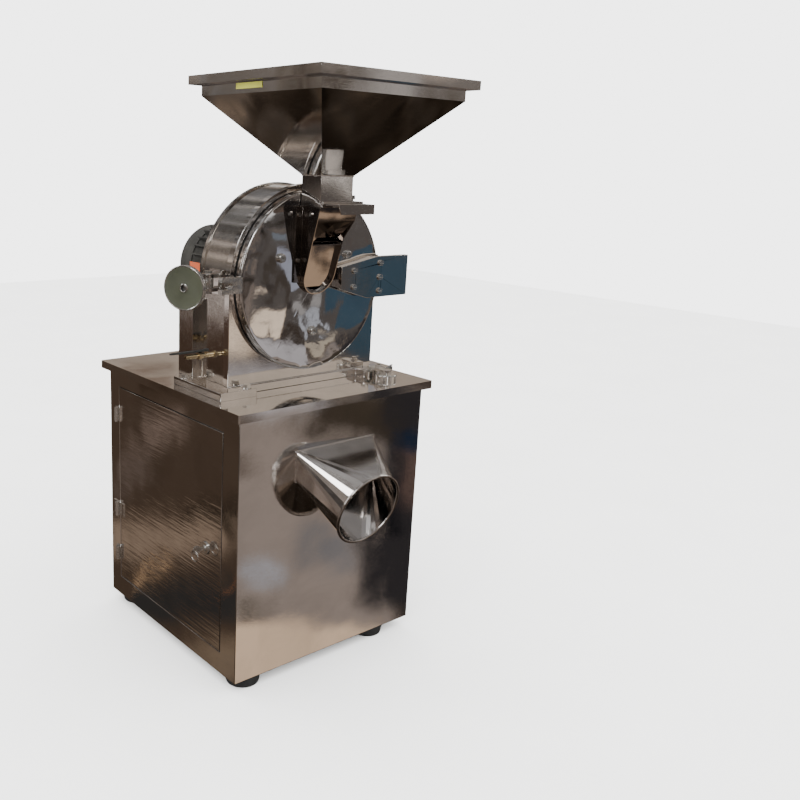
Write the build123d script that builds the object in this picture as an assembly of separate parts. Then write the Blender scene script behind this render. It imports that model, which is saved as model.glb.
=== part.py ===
from build123d import *
import math
import os

# Square-cabinet hammer mill with a hinged, hand-fed grinding door.
# Millimetres. X to the right, Y to the back, Z up; the floor is z = 0 and the origin is
# under the middle of the cabinet. The grinding door and the discharge spout face -Y.

# ---- Cabinet ---------------------------------------------------------------------------
CABINET_WIDTH = 520.0
CABINET_DEPTH = 540.0
FOOT_HEIGHT = 25.0
TABLE_TOP = 625.0
TABLE_SIDE_OVERHANG = 15.0
TABLE_END_OVERHANG = 17.5
TABLE_EDGE = 18.0
TABLE_SHEET = 3.0
SHEET = 2.0
ANGLE_LEG = 30.0
ANGLE_WALL = 3.0
FOOT_RADIUS = 41.0
FOOT_TAPER = 5.0
FOOT_LEFT_INSET = 51.0
FOOT_RIGHT_INSET = 97.0
FOOT_END_INSET = 41.0
M10_RADIUS = 5.0
M10_HOLE = 5.5
M10_HEAD = 8.5
M10_HEAD_HEIGHT = 6.5

# ---- Side door of the cabinet ----------------------------------------------------------
DOOR_FRONT_INSET = 58.0
DOOR_REAR_INSET = 46.0
DOOR_BOTTOM = 76.0
DOOR_TOP = 568.0
DOOR_SEAM = 2.0
DOOR_RETURN = 15.0
HINGE_STAND_OFF = 5.5
HINGE_BEHIND = 7.0
HINGE_RADIUS = 5.0
HINGE_PIN_RADIUS = 2.5
HINGE_HEIGHT = 34.0
HINGE_LEVELS = ((140.0, 12.0), (257.0, 25.0), (501.0, 12.0))
LOCK_INSET = 60.0
LOCK_Z = 294.0
LOCK_RADIUS = 11.0
LOCK_FLANGE = 15.0
CAM_REACH = 68.0

# ---- Discharge -------------------------------------------------------------------------
CHUTE_HALF = 150.0
CHUTE_FRONT_Y = -140.0
CHUTE_REAR_Y = -52.0
SPOUT_HALF = 113.0
SPOUT_BASE_LOW = 449.0
SPOUT_BASE_HIGH = 518.0
SPOUT_CORNER = 10.0
SPOUT_CORNER_STEPS = 9
MOUTH_RADIUS = 80.7
MOUTH_OUT = 108.5
MOUTH_Z = 400.6
MOUTH_TILT = 16.0
RIM_WIRE = 3.2

# ---- Grinding chamber ------------------------------------------------------------------
AXIS_Z = 857.0
BASE_THICK = 17.0
BASE_FRONT_Y = -156.0
EAR_FRONT_Y = -185.0
EAR_INNER = 155.0
BASE_REAR_Y = 22.0
BASE_CHAMFER = 26.0
FLANGE_FRONT_Y = -150.0
FLANGE_THICK = 18.0
CHAMBER_HALF = 206.0
WRAP_INSET = 3.0
WRAP_WALL = 5.0
BACK_FRONT_Y = -48.0
BACK_THICK = 10.0
SCREEN_RADIUS = 150.0
SCREEN_WALL = 3.0
SCREEN_FIT = 0.5
SCREEN_HOLE = 4.5
SCREEN_COLUMNS = 36
SCREEN_ROWS = 3
GASKET_THICK = 4.0
GASKET_OUTER = 190.0
GASKET_INNER = 172.0
SIDE_BOLT_INSET = 25.0
BASE_BOLT_EDGE = 13.0
SIDE_BOLT_Y = -28.0
FRONT_BOLT_X = 172.0
FRONT_BOLT_Y = -171.0

# ---- Grinding door ---------------------------------------------------------------------
RUN_GAP = 0.3
DISC_RADIUS = 194.0
DISC_THICK = 18.0
DISC_CROWN = 3.0
DISC_EDGE = 4.0
DISC_SEAM_ANGLE = 125.0
INLET_RADIUS = 34.0
BOWL_Z = 873.0
STATOR_OUTER = 122.0
STATOR_INNER = 62.0
STATOR_PLATE = 8.0
TOOTH_LENGTH = 18.0
TOOTH_RINGS = ((76.0, 16), (110.0, 24))
STATOR_BOLT_CIRCLE = 108.0
LUG_REACH = 240.0
LUG_HEIGHT = 34.0
LUG_THICK = 14.0
LUG_Z = 860.0
LUG_SLOT = 15.0
LUG_SLOT_END = 214.0

# ---- Door hinge ------------------------------------------------------------------------
PIN_X = 240.0
PIN_Y = -176.0
PIN_RADIUS = 6.0
PIN_FIT = 0.08
KNUCKLE_WALL = 6.0
KNUCKLE_LOW = 835.0
KNUCKLE_HIGH = 885.0
ARM_THICK = 10.0
ARM_LEFT = 58.0
ARM_RIGHT = 262.0
ARM_LOW = 815.0
ARM_HIGH = 907.0
ARM_NECK_LOW = 838.0
ARM_NECK_HIGH = 888.0
BRACKET_LUG = 11.0

# ---- Feed chute, gate and hopper -------------------------------------------------------
FEED_HALF = 43.0
FEED_SHEET = 2.0
FEED_TOP = 1018.0
FEED_MOUTH_Y = -235.0
FEED_FOOT_Y = -195.0
FEED_FOOT_Z = 880.0
FLARE_X = 62.0
FLARE_LOW = 950.0
FLARE_HIGH = 988.0
WINDOW_LOW = 940.0
WINDOW_HIGH = 990.0
FEED_FLANGE = 17.0
FRONT_RECESS = 10.0
GUARD_RECESS = 3.0
GUARD_TOP_X = 20.0
GATE_TOP = 1030.0
GATE_LEFT = -46.0
GATE_RIGHT = 66.0
GATE_PLATE = 4.0
GATE_FIT = 0.2
GATE_PLATE_LEFT = -41.0
GATE_PLATE_RIGHT = 59.0
GATE_FRONT_Y = -285.0
GATE_REAR_Y = -178.0
GATE_TRAVEL = 56.0
HANDLE_DROP = 20.0
NECK_X = 44.0
NECK_Y = 30.5
NECK_TOP = 1081.0
HOPPER_Y = -205.0
SKIRT_HALF = 190.0
SKIRT_LOW = 1234.0
RIM_LOW = 1256.0
RIM_HALF = 210.0
RIM_TOP = 1274.0

# ---- Swing clamp -----------------------------------------------------------------------
PIVOT_X = -228.0
PIVOT_Y = -105.0
CLAMP_PIN_RADIUS = 5.0
EYE_RADIUS = 11.0
EYE_HEIGHT = 20.0
BOLT_RADIUS = 6.0
BOLT_LENGTH = 100.0
OPEN_ANGLE = 61.0
WASHER_AT = 70.0
WASHER_THICK = 3.0
WHEEL_HUB_RADIUS = 14.0
WHEEL_FACE = 107.0
WHEEL_RADIUS = 45.0
WHEEL_THICK = 12.0

# ---- Rotor and motor -------------------------------------------------------------------
ROTOR_FRONT_Y = -120.0
ROTOR_REAR_Y = -64.0
ROTOR_PLATE = 8.0
ROTOR_RADIUS = 105.0
HUB_RADIUS = 34.0
HAMMER_COUNT = 4
HAMMER_CIRCLE = 88.0
HAMMER_CLEAR = 8.0
HAMMER_WIDTH = 26.0
HAMMER_PIN = 6.0
HAMMER_GAP = 1.0
SHAFT_NOSE = 11.0
SHAFT_ROTOR = 14.0
SHAFT_SEAL = 15.0
SHAFT_CORE = 18.0
SHAFT_TAIL = 12.5
FIT = 0.04
MOTOR_FRONT_Y = -38.0
SHIELD_THICK = 24.0
FRAME_OUTER = 92.0
FRAME_INNER = 85.0
FRAME_LENGTH = 186.0
FIN_RADIUS = 107.0
FIN_THICK = 3.0
FIN_COUNT = 30
SHIELD_FLANGE = 120.0
BEARING_OUTER_FRONT = 31.0
BEARING_OUTER_REAR = 26.0
COWL_OUTER = 95.0
COWL_WALL = 2.0
BOX_PAD_X = 109.0
BOX_LID_X = 146.0
BOX_FRONT = 40.0
BOX_LENGTH = 84.0
BOX_BELOW = 26.0
BOX_ABOVE = 34.0
GLAND_LENGTH = 18.0
GLAND_BORE = 5.0
COWL_LENGTH = 46.0
STAND_HALF = 222.0
STAND_REAR_Y = 18.0
STAND_TOP = 815.0
STAND_WALL = 4.0
SADDLE_RADIUS = 124.0

# ---- Cooling water valve ---------------------------------------------------------------
VALVE_Y = -118.0
VALVE_Z = 710.0
VALVE_X = -240.0
VALVE_LENGTH = 44.0
VALVE_RISE = 9.0
STUB_RADIUS = 4.5
LEVER_REACH = 88.0

# ---- Derived places --------------------------------------------------------------------
BODY_X = CABINET_WIDTH / 2
BODY_Y = CABINET_DEPTH / 2
BODY_TOP = TABLE_TOP - TABLE_SHEET
DOOR_FRONT_Y = -BODY_Y + DOOR_FRONT_INSET
DOOR_REAR_Y = BODY_Y - DOOR_REAR_INSET
HINGE_AXIS_Y = DOOR_REAR_Y + HINGE_BEHIND
LOCK_Y = DOOR_FRONT_Y + LOCK_INSET
SIDE_BOLT_X = BODY_X - SIDE_BOLT_INSET
BASE_HALF = SIDE_BOLT_X + BASE_BOLT_EDGE
FLOOR_TOP = FOOT_HEIGHT + SHEET
BASE_TOP = TABLE_TOP + BASE_THICK
FLANGE_REAR_Y = FLANGE_FRONT_Y + FLANGE_THICK
BACK_REAR_Y = BACK_FRONT_Y + BACK_THICK
DISC_REAR_Y = FLANGE_FRONT_Y - GASKET_THICK - RUN_GAP
DISC_FRONT_Y = DISC_REAR_Y - DISC_THICK
KNUCKLE_RADIUS = PIN_RADIUS + KNUCKLE_WALL
HAMMER_REACH = SCREEN_RADIUS - HAMMER_CLEAR - HAMMER_CIRCLE
SPACER_FRONT_Y = PIN_Y - KNUCKLE_RADIUS
ARM_FRONT_Y = SPACER_FRONT_Y - ARM_THICK
FRAME_FRONT_Y = MOTOR_FRONT_Y + SHIELD_THICK
FRAME_REAR_Y = FRAME_FRONT_Y + FRAME_LENGTH
HOPPER_FRONT = HOPPER_Y - NECK_Y
FOOT_PLACES = [
    (x, y)
    for x in (-BODY_X + FOOT_LEFT_INSET, BODY_X - FOOT_RIGHT_INSET)
    for y in (-BODY_Y + FOOT_END_INSET, BODY_Y - FOOT_END_INSET)
]
BASE_BOLT_PLACES = [
    (sign * x, y)
    for sign in (-1, 1)
    for x, y in ((SIDE_BOLT_X, SIDE_BOLT_Y), (FRONT_BOLT_X, FRONT_BOLT_Y))
]


# ---- Small helpers ---------------------------------------------------------------------
def block(x0, x1, y0, y1, z0, z1):
    """Box between two corners."""
    size = Box(x1 - x0, y1 - y0, z1 - z0)
    return Pos((x0 + x1) / 2, (y0 + y1) / 2, (z0 + z1) / 2) * size


def rod(start, direction, radius, length):
    """Cylinder that starts at a point and runs along a direction."""
    place = Plane(origin=start, z_dir=direction).location
    return place * Cylinder(radius, length, align=(Align.CENTER, Align.CENTER, Align.MIN))


def ring_y(outer, inner, y0, y1, x=0.0, z=AXIS_Z):
    """Ring with its axis along Y."""
    start = (x, y0, z)
    return rod(start, (0, 1, 0), outer, y1 - y0) - rod(start, (0, 1, 0), inner, y1 - y0)


def hexagon(start, direction, across_corners, height):
    """Hexagonal bolt head or nut."""
    place = Plane(origin=start, z_dir=direction)
    return extrude(place * RegularPolygon(across_corners, 6), amount=height)


def plate_xz(points, y0, y1):
    """Flat plate with an outline in X and Z, between two Y planes."""
    outline = Polyline([(x, y0, z) for x, z in points], close=True)
    return extrude(make_face(outline), amount=y1 - y0, dir=(0, 1, 0))


def plate_yz(points, x0, x1):
    """Flat plate with an outline in Y and Z, between two X planes."""
    outline = Polyline([(x0, y, z) for y, z in points], close=True)
    return extrude(make_face(outline), amount=x1 - x0, dir=(1, 0, 0))


def plate_xy(points, z0, z1):
    """Flat plate with an outline in X and Y, between two levels."""
    outline = Polyline([(x, y, z0) for x, y in points], close=True)
    return extrude(make_face(outline), amount=z1 - z0, dir=(0, 0, 1))


def horseshoe(half, bottom, y0, y1):
    """Solid with a round top and a flat bottom."""
    column = block(-half, half, y0, y1, bottom, AXIS_Z)
    return column + rod((0, y0, AXIS_Z), (0, 1, 0), half, y1 - y0)


def around_axis(shape, angle):
    """Turn a shape about the rotor's axis."""
    return shape.rotate(Axis((0, 0, AXIS_Z), (0, 1, 0)), angle)


def group(shapes):
    """Separate solids that share one node."""
    return Compound(children=list(shapes))


# ---- Cabinet ---------------------------------------------------------------------------
def angle_bar(x0, x1, y0, y1, z0, z1, walls):
    """Equal angle made of two leaves; walls names the faces that the leaves lie on."""
    leaves = {
        "x0": (x0, x0 + ANGLE_WALL, y0, y1, z0, z1),
        "x1": (x1 - ANGLE_WALL, x1, y0, y1, z0, z1),
        "y0": (x0, x1, y0, y0 + ANGLE_WALL, z0, z1),
        "y1": (x0, x1, y1 - ANGLE_WALL, y1, z0, z1),
        "z0": (x0, x1, y0, y1, z0, z0 + ANGLE_WALL),
        "z1": (x0, x1, y0, y1, z1 - ANGLE_WALL, z1),
    }
    return block(*leaves[walls[0]]) + block(*leaves[walls[1]])


def cabinet_frame():
    x = BODY_X - SHEET
    y = BODY_Y - SHEET
    leg = ANGLE_LEG
    low, high = FLOOR_TOP, BODY_TOP
    bars = []
    for x0, x1, side_x in ((-x, -x + leg, "x0"), (x - leg, x, "x1")):
        for y0, y1, side_y in ((-y, -y + leg, "y0"), (y - leg, y, "y1")):
            bars.append(angle_bar(x0, x1, y0, y1, low, high, (side_x, side_y)))
        bars.append(angle_bar(x0, x1, -y, y, low, low + leg, (side_x, "z0")))
        bars.append(angle_bar(x0, x1, -y, y, high - leg, high, (side_x, "z1")))
    for y0, y1, side_y in ((-y, -y + leg, "y0"), (y - leg, y, "y1")):
        bars.append(angle_bar(-x, x, y0, y1, low, low + leg, (side_y, "z0")))
        bars.append(angle_bar(-x, x, y0, y1, high - leg, high, (side_y, "z1")))
    frame = bars[0]
    for bar in bars[1:]:
        frame += bar
    for sign in (-1, 1):
        frame -= rod((sign * SIDE_BOLT_X, SIDE_BOLT_Y, high - ANGLE_WALL), (0, 0, 1), M10_HOLE, ANGLE_WALL)
    return frame


def cabinet_shell():
    low = FOOT_HEIGHT
    outer = block(-BODY_X, BODY_X, -BODY_Y, BODY_Y, low, BODY_TOP)
    x, y = BODY_X - SHEET, BODY_Y - SHEET
    shell = outer - block(-x, x, -y, y, low, BODY_TOP)
    seam = DOOR_SEAM
    y0, y1 = DOOR_FRONT_Y - seam, DOOR_REAR_Y + seam
    z0, z1 = DOOR_BOTTOM - seam, DOOR_TOP + seam
    inner_x = -BODY_X + DOOR_RETURN
    jamb = block(-BODY_X, inner_x, y0 - SHEET, y1 + SHEET, z0 - SHEET, z1 + SHEET)
    shell = shell + jamb - block(-BODY_X, inner_x, y0, y1, z0, z1)
    inner = SPOUT_HALF - SHEET
    shell -= block(-inner, inner, -BODY_Y, -y, SPOUT_BASE_LOW + SHEET, SPOUT_BASE_HIGH - SHEET)
    for column in (-1, 1):
        for row in range(6):
            vent = block(-50, 50, y, BODY_Y, -3, 3)
            shell -= Pos(column * 90.0, 0, 300 + row * 22.0) * vent
    return shell


def floor_panel():
    x, y = BODY_X - SHEET, BODY_Y - SHEET
    panel = block(-x, x, -y, y, FOOT_HEIGHT, FLOOR_TOP)
    for px, py in FOOT_PLACES:
        panel -= rod((px, py, FOOT_HEIGHT), (0, 0, 1), M10_HOLE, SHEET)
    return panel


def tabletop():
    x, y = BODY_X + TABLE_SIDE_OVERHANG, BODY_Y + TABLE_END_OVERHANG
    low = TABLE_TOP - TABLE_EDGE
    top = fillet(block(-x, x, -y, y, low, TABLE_TOP).edges().filter_by(Axis.Z), 3.0)
    wall = TABLE_SHEET
    top -= block(-x + wall, x - wall, -y + wall, y - wall, low, BODY_TOP)
    top -= block(-CHUTE_HALF, CHUTE_HALF, CHUTE_FRONT_Y, CHUTE_REAR_Y, BODY_TOP, TABLE_TOP)
    for px, py in BASE_BOLT_PLACES + [(STUD_X, STUD_Y)]:
        top -= rod((px, py, BODY_TOP), (0, 0, 1), M10_HOLE, TABLE_SHEET)
    return top


def rubber_feet():
    recess = 9.0
    feet = []
    for px, py in FOOT_PLACES:
        foot = Pos(px, py, FOOT_HEIGHT / 2) * Cone(FOOT_RADIUS - FOOT_TAPER, FOOT_RADIUS, FOOT_HEIGHT)
        foot = fillet(foot.edges().sort_by(Axis.Z)[0], 3.0)
        foot -= rod((px, py, 0), (0, 0, 1), M10_HEAD + 2.5, recess)
        foot -= rod((px, py, 0), (0, 0, 1), M10_HOLE, FOOT_HEIGHT)
        feet.append(foot)
    return group(feet)


def foot_bolts():
    recess = 9.0
    top = FLOOR_TOP
    bolts = []
    for px, py in FOOT_PLACES:
        head = hexagon((px, py, recess - M10_HEAD_HEIGHT), (0, 0, 1), M10_HEAD, M10_HEAD_HEIGHT)
        shank = rod((px, py, recess), (0, 0, 1), M10_RADIUS, top - recess + 14)
        nut = hexagon((px, py, top), (0, 0, 1), M10_HEAD, M10_HEAD_HEIGHT)
        bolts.append(head + shank)
        bolts.append(nut - rod((px, py, top), (0, 0, 1), M10_RADIUS, M10_HEAD_HEIGHT))
    return group(bolts)


# ---- Side door, its hinges and its lock ------------------------------------------------
def cabinet_door():
    inner_x = -BODY_X + DOOR_RETURN
    tray = block(-BODY_X, inner_x, DOOR_FRONT_Y, DOOR_REAR_Y, DOOR_BOTTOM, DOOR_TOP)
    wall = SHEET
    tray -= block(
        -BODY_X + wall, inner_x, DOOR_FRONT_Y + wall, DOOR_REAR_Y - wall,
        DOOR_BOTTOM + wall, DOOR_TOP - wall,
    )
    hole = rod((-BODY_X, LOCK_Y, LOCK_Z), (1, 0, 0), LOCK_RADIUS, SHEET)
    return tray - hole


def hinge_axis_x():
    return -BODY_X - HINGE_STAND_OFF


def hinge_leaf(level, reach, side, low, high):
    """Leaf and its share of the barrel; side is -1 for the door and 1 for the cabinet."""
    axis_x = hinge_axis_x()
    edge = HINGE_AXIS_Y + side * reach
    y0, y1 = sorted((HINGE_AXIS_Y + side * 1.0, edge))
    leaf = block(-BODY_X - 2.5, -BODY_X, y0, y1, level - HINGE_HEIGHT / 2, level + HINGE_HEIGHT / 2)
    barrel = rod((axis_x, HINGE_AXIS_Y, low), (0, 0, 1), HINGE_RADIUS, high - low)
    clear = rod((axis_x, HINGE_AXIS_Y, level - HINGE_HEIGHT), (0, 0, 1), HINGE_RADIUS + RUN_GAP,
                2 * HINGE_HEIGHT)
    bore = rod((axis_x, HINGE_AXIS_Y, low), (0, 0, 1), HINGE_PIN_RADIUS + FIT, high - low)
    web = block(axis_x, -BODY_X, *sorted((HINGE_AXIS_Y, HINGE_AXIS_Y + side * 3.5)), low, high)
    return (leaf - clear) + (barrel + web) - bore


def hinge_leaves(side):
    half = HINGE_HEIGHT / 2
    leaves = []
    for level, reach in HINGE_LEVELS:
        if side < 0:
            leaves.append(hinge_leaf(level, reach, side, level + RUN_GAP, level + half))
        else:
            leaves.append(hinge_leaf(level, reach, side, level - half, level - RUN_GAP))
    return group(leaves)


def hinge_pins():
    half = HINGE_HEIGHT / 2
    axis_x = hinge_axis_x()
    pins = []
    for level, _ in HINGE_LEVELS:
        pin = rod((axis_x, HINGE_AXIS_Y, level - half), (0, 0, 1), HINGE_PIN_RADIUS, 2 * half)
        cap = rod((axis_x, HINGE_AXIS_Y, level - half - 2), (0, 0, 1), HINGE_RADIUS - 1, 2)
        pins.append(pin + cap)
    return group(pins)


def lock_body():
    start = (-BODY_X - 3, LOCK_Y, LOCK_Z)
    flange = rod(start, (1, 0, 0), LOCK_FLANGE, 3)
    barrel = rod(start, (1, 0, 0), LOCK_RADIUS - FIT, DOOR_RETURN + 2)
    return flange + barrel - rod(start, (1, 0, 0), LOCK_RADIUS - 4, DOOR_RETURN + 2)


def lock_cam():
    """Turning plug with its cam, and the key with its ring."""
    x0 = -BODY_X - 5
    cam_x = -BODY_X + DOOR_RETURN + 0.5
    plug = rod((x0, LOCK_Y, LOCK_Z), (1, 0, 0), LOCK_RADIUS - 4 - FIT * 2, cam_x - x0)
    cam = block(cam_x, cam_x + 3, LOCK_Y - 9, LOCK_Y + 9, LOCK_Z, LOCK_Z + CAM_REACH)
    cam += rod((cam_x, LOCK_Y, LOCK_Z), (1, 0, 0), 9, 3)
    bow_x = x0 - 16
    blade = block(x0 - 10, x0, LOCK_Y - 1, LOCK_Y + 1, LOCK_Z - 3.5, LOCK_Z + 3.5)
    bow = rod((bow_x, LOCK_Y - 1, LOCK_Z), (0, 1, 0), 10, 2)
    bow -= rod((bow_x - 5, LOCK_Y - 1, LOCK_Z), (0, 1, 0), 2.2, 2)
    loop = Pos(bow_x - 5, LOCK_Y, LOCK_Z - 12) * Rot(0, 90, 0) * Torus(12, 0.9)
    return group([plug + cam, blade + bow, loop])


# ---- Discharge -------------------------------------------------------------------------
def rect_xy(half, y0, y1, z):
    return make_face(Polyline([(-half, y0, z), (half, y0, z), (half, y1, z), (-half, y1, z)], close=True))


def rect_xz(half, z0, z1, y):
    return make_face(Polyline([(-half, y, z1), (half, y, z1), (half, y, z0), (-half, y, z0)], close=True))


def discharge_funnel():
    """Duct under the table that leads from the chamber to the spout."""
    top = BODY_TOP - SHEET
    y_out = -BODY_Y + SHEET
    wall = SHEET
    outer = loft([
        rect_xy(CHUTE_HALF + wall, CHUTE_FRONT_Y - wall, CHUTE_REAR_Y + wall, top),
        rect_xz(SPOUT_HALF, SPOUT_BASE_LOW, SPOUT_BASE_HIGH, y_out),
    ], ruled=True)
    inner = loft([
        rect_xy(CHUTE_HALF, CHUTE_FRONT_Y, CHUTE_REAR_Y, top),
        rect_xz(SPOUT_HALF - wall, SPOUT_BASE_LOW + wall, SPOUT_BASE_HIGH - wall, y_out),
    ], ruled=True)
    flange = block(-CHUTE_HALF - 12, CHUTE_HALF + 12, CHUTE_FRONT_Y - 12, CHUTE_REAR_Y + 12, top, BODY_TOP)
    flange -= block(-CHUTE_HALF, CHUTE_HALF, CHUTE_FRONT_Y, CHUTE_REAR_Y, top, BODY_TOP)
    return outer - inner + flange


def mouth_plane():
    tilt = math.radians(MOUTH_TILT)
    out = (0, -math.cos(tilt), -math.sin(tilt))
    return Plane(origin=(0, -BODY_Y - MOUTH_OUT, MOUTH_Z), x_dir=(1, 0, 0), z_dir=out)


def spout_body(shrink):
    """Square-to-round duct, drawn in by the sheet thickness for its inside.

    Each rounded corner of the base fans out to a quarter of the round mouth, which leaves a flat
    triangle on each of the four sides.
    """
    half = SPOUT_HALF - shrink
    low, high = SPOUT_BASE_LOW + shrink, SPOUT_BASE_HIGH - shrink
    corner = SPOUT_CORNER - shrink
    plane = mouth_plane()
    base, mouth = [], []
    for quarter in range(4):
        side_x = 1 if quarter in (0, 3) else -1
        side_z = 1 if quarter in (0, 1) else -1
        centre_x = side_x * (half - corner)
        centre_z = (high - corner) if side_z > 0 else (low + corner)
        for step in range(SPOUT_CORNER_STEPS):
            angle = math.radians(90.0 * (quarter + step / (SPOUT_CORNER_STEPS - 1)))
            base.append((centre_x + corner * math.cos(angle), -BODY_Y, centre_z + corner * math.sin(angle)))
            spread = math.radians(90.0 * quarter + 2.0 + 86.0 * step / (SPOUT_CORNER_STEPS - 1))
            radius = MOUTH_RADIUS - shrink
            mouth.append(plane.from_local_coords((radius * math.cos(spread), radius * math.sin(spread), 0)))
    outline = [make_face(Polyline(points, close=True)) for points in (base, mouth)]
    return loft(outline, ruled=True)


def discharge_spout():
    plane = mouth_plane()
    spout = spout_body(0.0) - spout_body(SHEET)
    rim = plane.location * Torus(MOUTH_RADIUS + RIM_WIRE - SHEET, RIM_WIRE)
    return spout + rim


# ---- Chamber ---------------------------------------------------------------------------
STUD_X = 194.0
STUD_Y = -192.5
HEEL_Y = -216.0
HEEL_RADIUS = 25.0
HEEL_HEIGHT = 11.0
STRAP_HALF = 13.0
STRAP_THICK = 5.0


def chamber_base():
    c = BASE_CHAMFER
    right = [
        (EAR_INNER, BASE_FRONT_Y), (EAR_INNER, EAR_FRONT_Y), (BASE_HALF, EAR_FRONT_Y),
        (BASE_HALF, BASE_REAR_Y - c), (BASE_HALF - c, BASE_REAR_Y),
    ]
    left = [(-x, y) for x, y in reversed(right)]
    base = plate_xy(right + left, TABLE_TOP, BASE_TOP)
    base -= block(-CHUTE_HALF, CHUTE_HALF, CHUTE_FRONT_Y, CHUTE_REAR_Y, TABLE_TOP, BASE_TOP)
    for px, py in BASE_BOLT_PLACES:
        base -= rod((px, py, TABLE_TOP), (0, 0, 1), M10_HOLE, BASE_THICK)
    return base


def base_bolts():
    washer = 1.6
    parts = []
    for px, py in BASE_BOLT_PLACES:
        over_frame = ANGLE_WALL if abs(px) == SIDE_BOLT_X else 0.0
        below = BODY_TOP - over_frame - M10_HEAD_HEIGHT
        start = (px, py, BASE_TOP)
        shank = rod((px, py, below - 4), (0, 0, 1), M10_RADIUS, BASE_TOP - below + 4)
        head = rod(start, (0, 0, 1), M10_HEAD + 1.2, washer)
        head += hexagon((px, py, BASE_TOP + washer), (0, 0, 1), M10_HEAD, M10_HEAD_HEIGHT)
        parts.append(shank + head)
        nut = hexagon((px, py, below), (0, 0, 1), M10_HEAD, M10_HEAD_HEIGHT)
        parts.append(nut - rod((px, py, below), (0, 0, 1), M10_RADIUS, M10_HEAD_HEIGHT))
    return group(parts)


def hold_down_clamp():
    """Strap that grips the front ear, its round heel plate, and the stud with a low nut."""
    strap_top = BASE_TOP + STRAP_THICK
    x0, x1 = STUD_X - STRAP_HALF, STUD_X + STRAP_HALF
    strap = block(x0, x1, HEEL_Y, EAR_FRONT_Y + 11, BASE_TOP, strap_top)
    strap += rod((STUD_X, HEEL_Y, BASE_TOP), (0, 0, 1), STRAP_HALF, STRAP_THICK)
    strap += plate_xz([(x1, BASE_TOP), (x1 + 15, strap_top + 7), (x1, strap_top)], HEEL_Y + 6, HEEL_Y + 12)
    strap -= rod((STUD_X, STUD_Y, BASE_TOP), (0, 0, 1), M10_HOLE, STRAP_THICK)
    heel = rod((STUD_X, HEEL_Y, TABLE_TOP), (0, 0, 1), HEEL_RADIUS, HEEL_HEIGHT)
    heel = fillet(heel.edges().sort_by(Axis.Z)[-1], 2.0)
    heel += rod((STUD_X, HEEL_Y, TABLE_TOP), (0, 0, 1), STRAP_HALF - 2, BASE_THICK)
    heel -= rod((STUD_X, STUD_Y, TABLE_TOP), (0, 0, 1), M10_HOLE, BASE_THICK)
    stud = rod((STUD_X, STUD_Y, BODY_TOP - 10), (0, 0, 1), M10_RADIUS, strap_top + 10 - BODY_TOP + 10)
    nut = hexagon((STUD_X, STUD_Y, strap_top), (0, 0, 1), M10_HEAD, 5.0)
    nut -= rod((STUD_X, STUD_Y, strap_top), (0, 0, 1), M10_RADIUS, 5.0)
    lock_z = BODY_TOP - M10_HEAD_HEIGHT
    lock = hexagon((STUD_X, STUD_Y, lock_z), (0, 0, 1), M10_HEAD, M10_HEAD_HEIGHT)
    lock -= rod((STUD_X, STUD_Y, lock_z), (0, 0, 1), M10_RADIUS, M10_HEAD_HEIGHT)
    return group([strap, heel, stud, nut, lock])


def chamber_flange():
    plate = horseshoe(CHAMBER_HALF, BASE_TOP, FLANGE_FRONT_Y, FLANGE_REAR_Y)
    opening = SCREEN_RADIUS + SCREEN_WALL + SCREEN_FIT
    return plate - rod((0, FLANGE_FRONT_Y, AXIS_Z), (0, 1, 0), opening, FLANGE_THICK)


def chamber_wrapper():
    half = CHAMBER_HALF - WRAP_INSET
    outer = horseshoe(half, BASE_TOP, FLANGE_REAR_Y, BACK_FRONT_Y)
    shell = outer - horseshoe(half - WRAP_WALL, BASE_TOP, FLANGE_REAR_Y, BACK_FRONT_Y)
    return shell - rod((-half, VALVE_Y, VALVE_Z), (1, 0, 0), STUB_RADIUS, WRAP_WALL)


def chamber_back_plate():
    plate = horseshoe(CHAMBER_HALF, BASE_TOP, BACK_FRONT_Y, BACK_REAR_Y)
    inner = SCREEN_RADIUS + SCREEN_WALL + SCREEN_FIT
    plate += ring_y(inner + 8, inner, BACK_FRONT_Y - 10, BACK_FRONT_Y)
    return plate - rod((0, BACK_FRONT_Y, AXIS_Z), (0, 1, 0), 30.0, BACK_THICK)


def screen_ring():
    y0, y1 = FLANGE_FRONT_Y + 2, BACK_FRONT_Y
    outer = SCREEN_RADIUS + SCREEN_WALL
    ring = ring_y(outer, SCREEN_RADIUS, y0, y1)
    pitch = (BACK_FRONT_Y - 10 - FLANGE_REAR_Y) / (SCREEN_ROWS + 1)
    drills = []
    for row in range(SCREEN_ROWS):
        y = FLANGE_REAR_Y + pitch * (row + 1)
        for column in range(SCREEN_COLUMNS // 2):
            drill = rod((-outer - 2, y, AXIS_Z), (1, 0, 0), SCREEN_HOLE, 2 * outer + 4)
            drills.append(around_axis(drill, 360.0 / SCREEN_COLUMNS * (column + 0.5 * (row % 2))))
    return ring - drills


def door_gasket():
    return ring_y(GASKET_OUTER, GASKET_INNER, FLANGE_FRONT_Y - GASKET_THICK, FLANGE_FRONT_Y)


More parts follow.
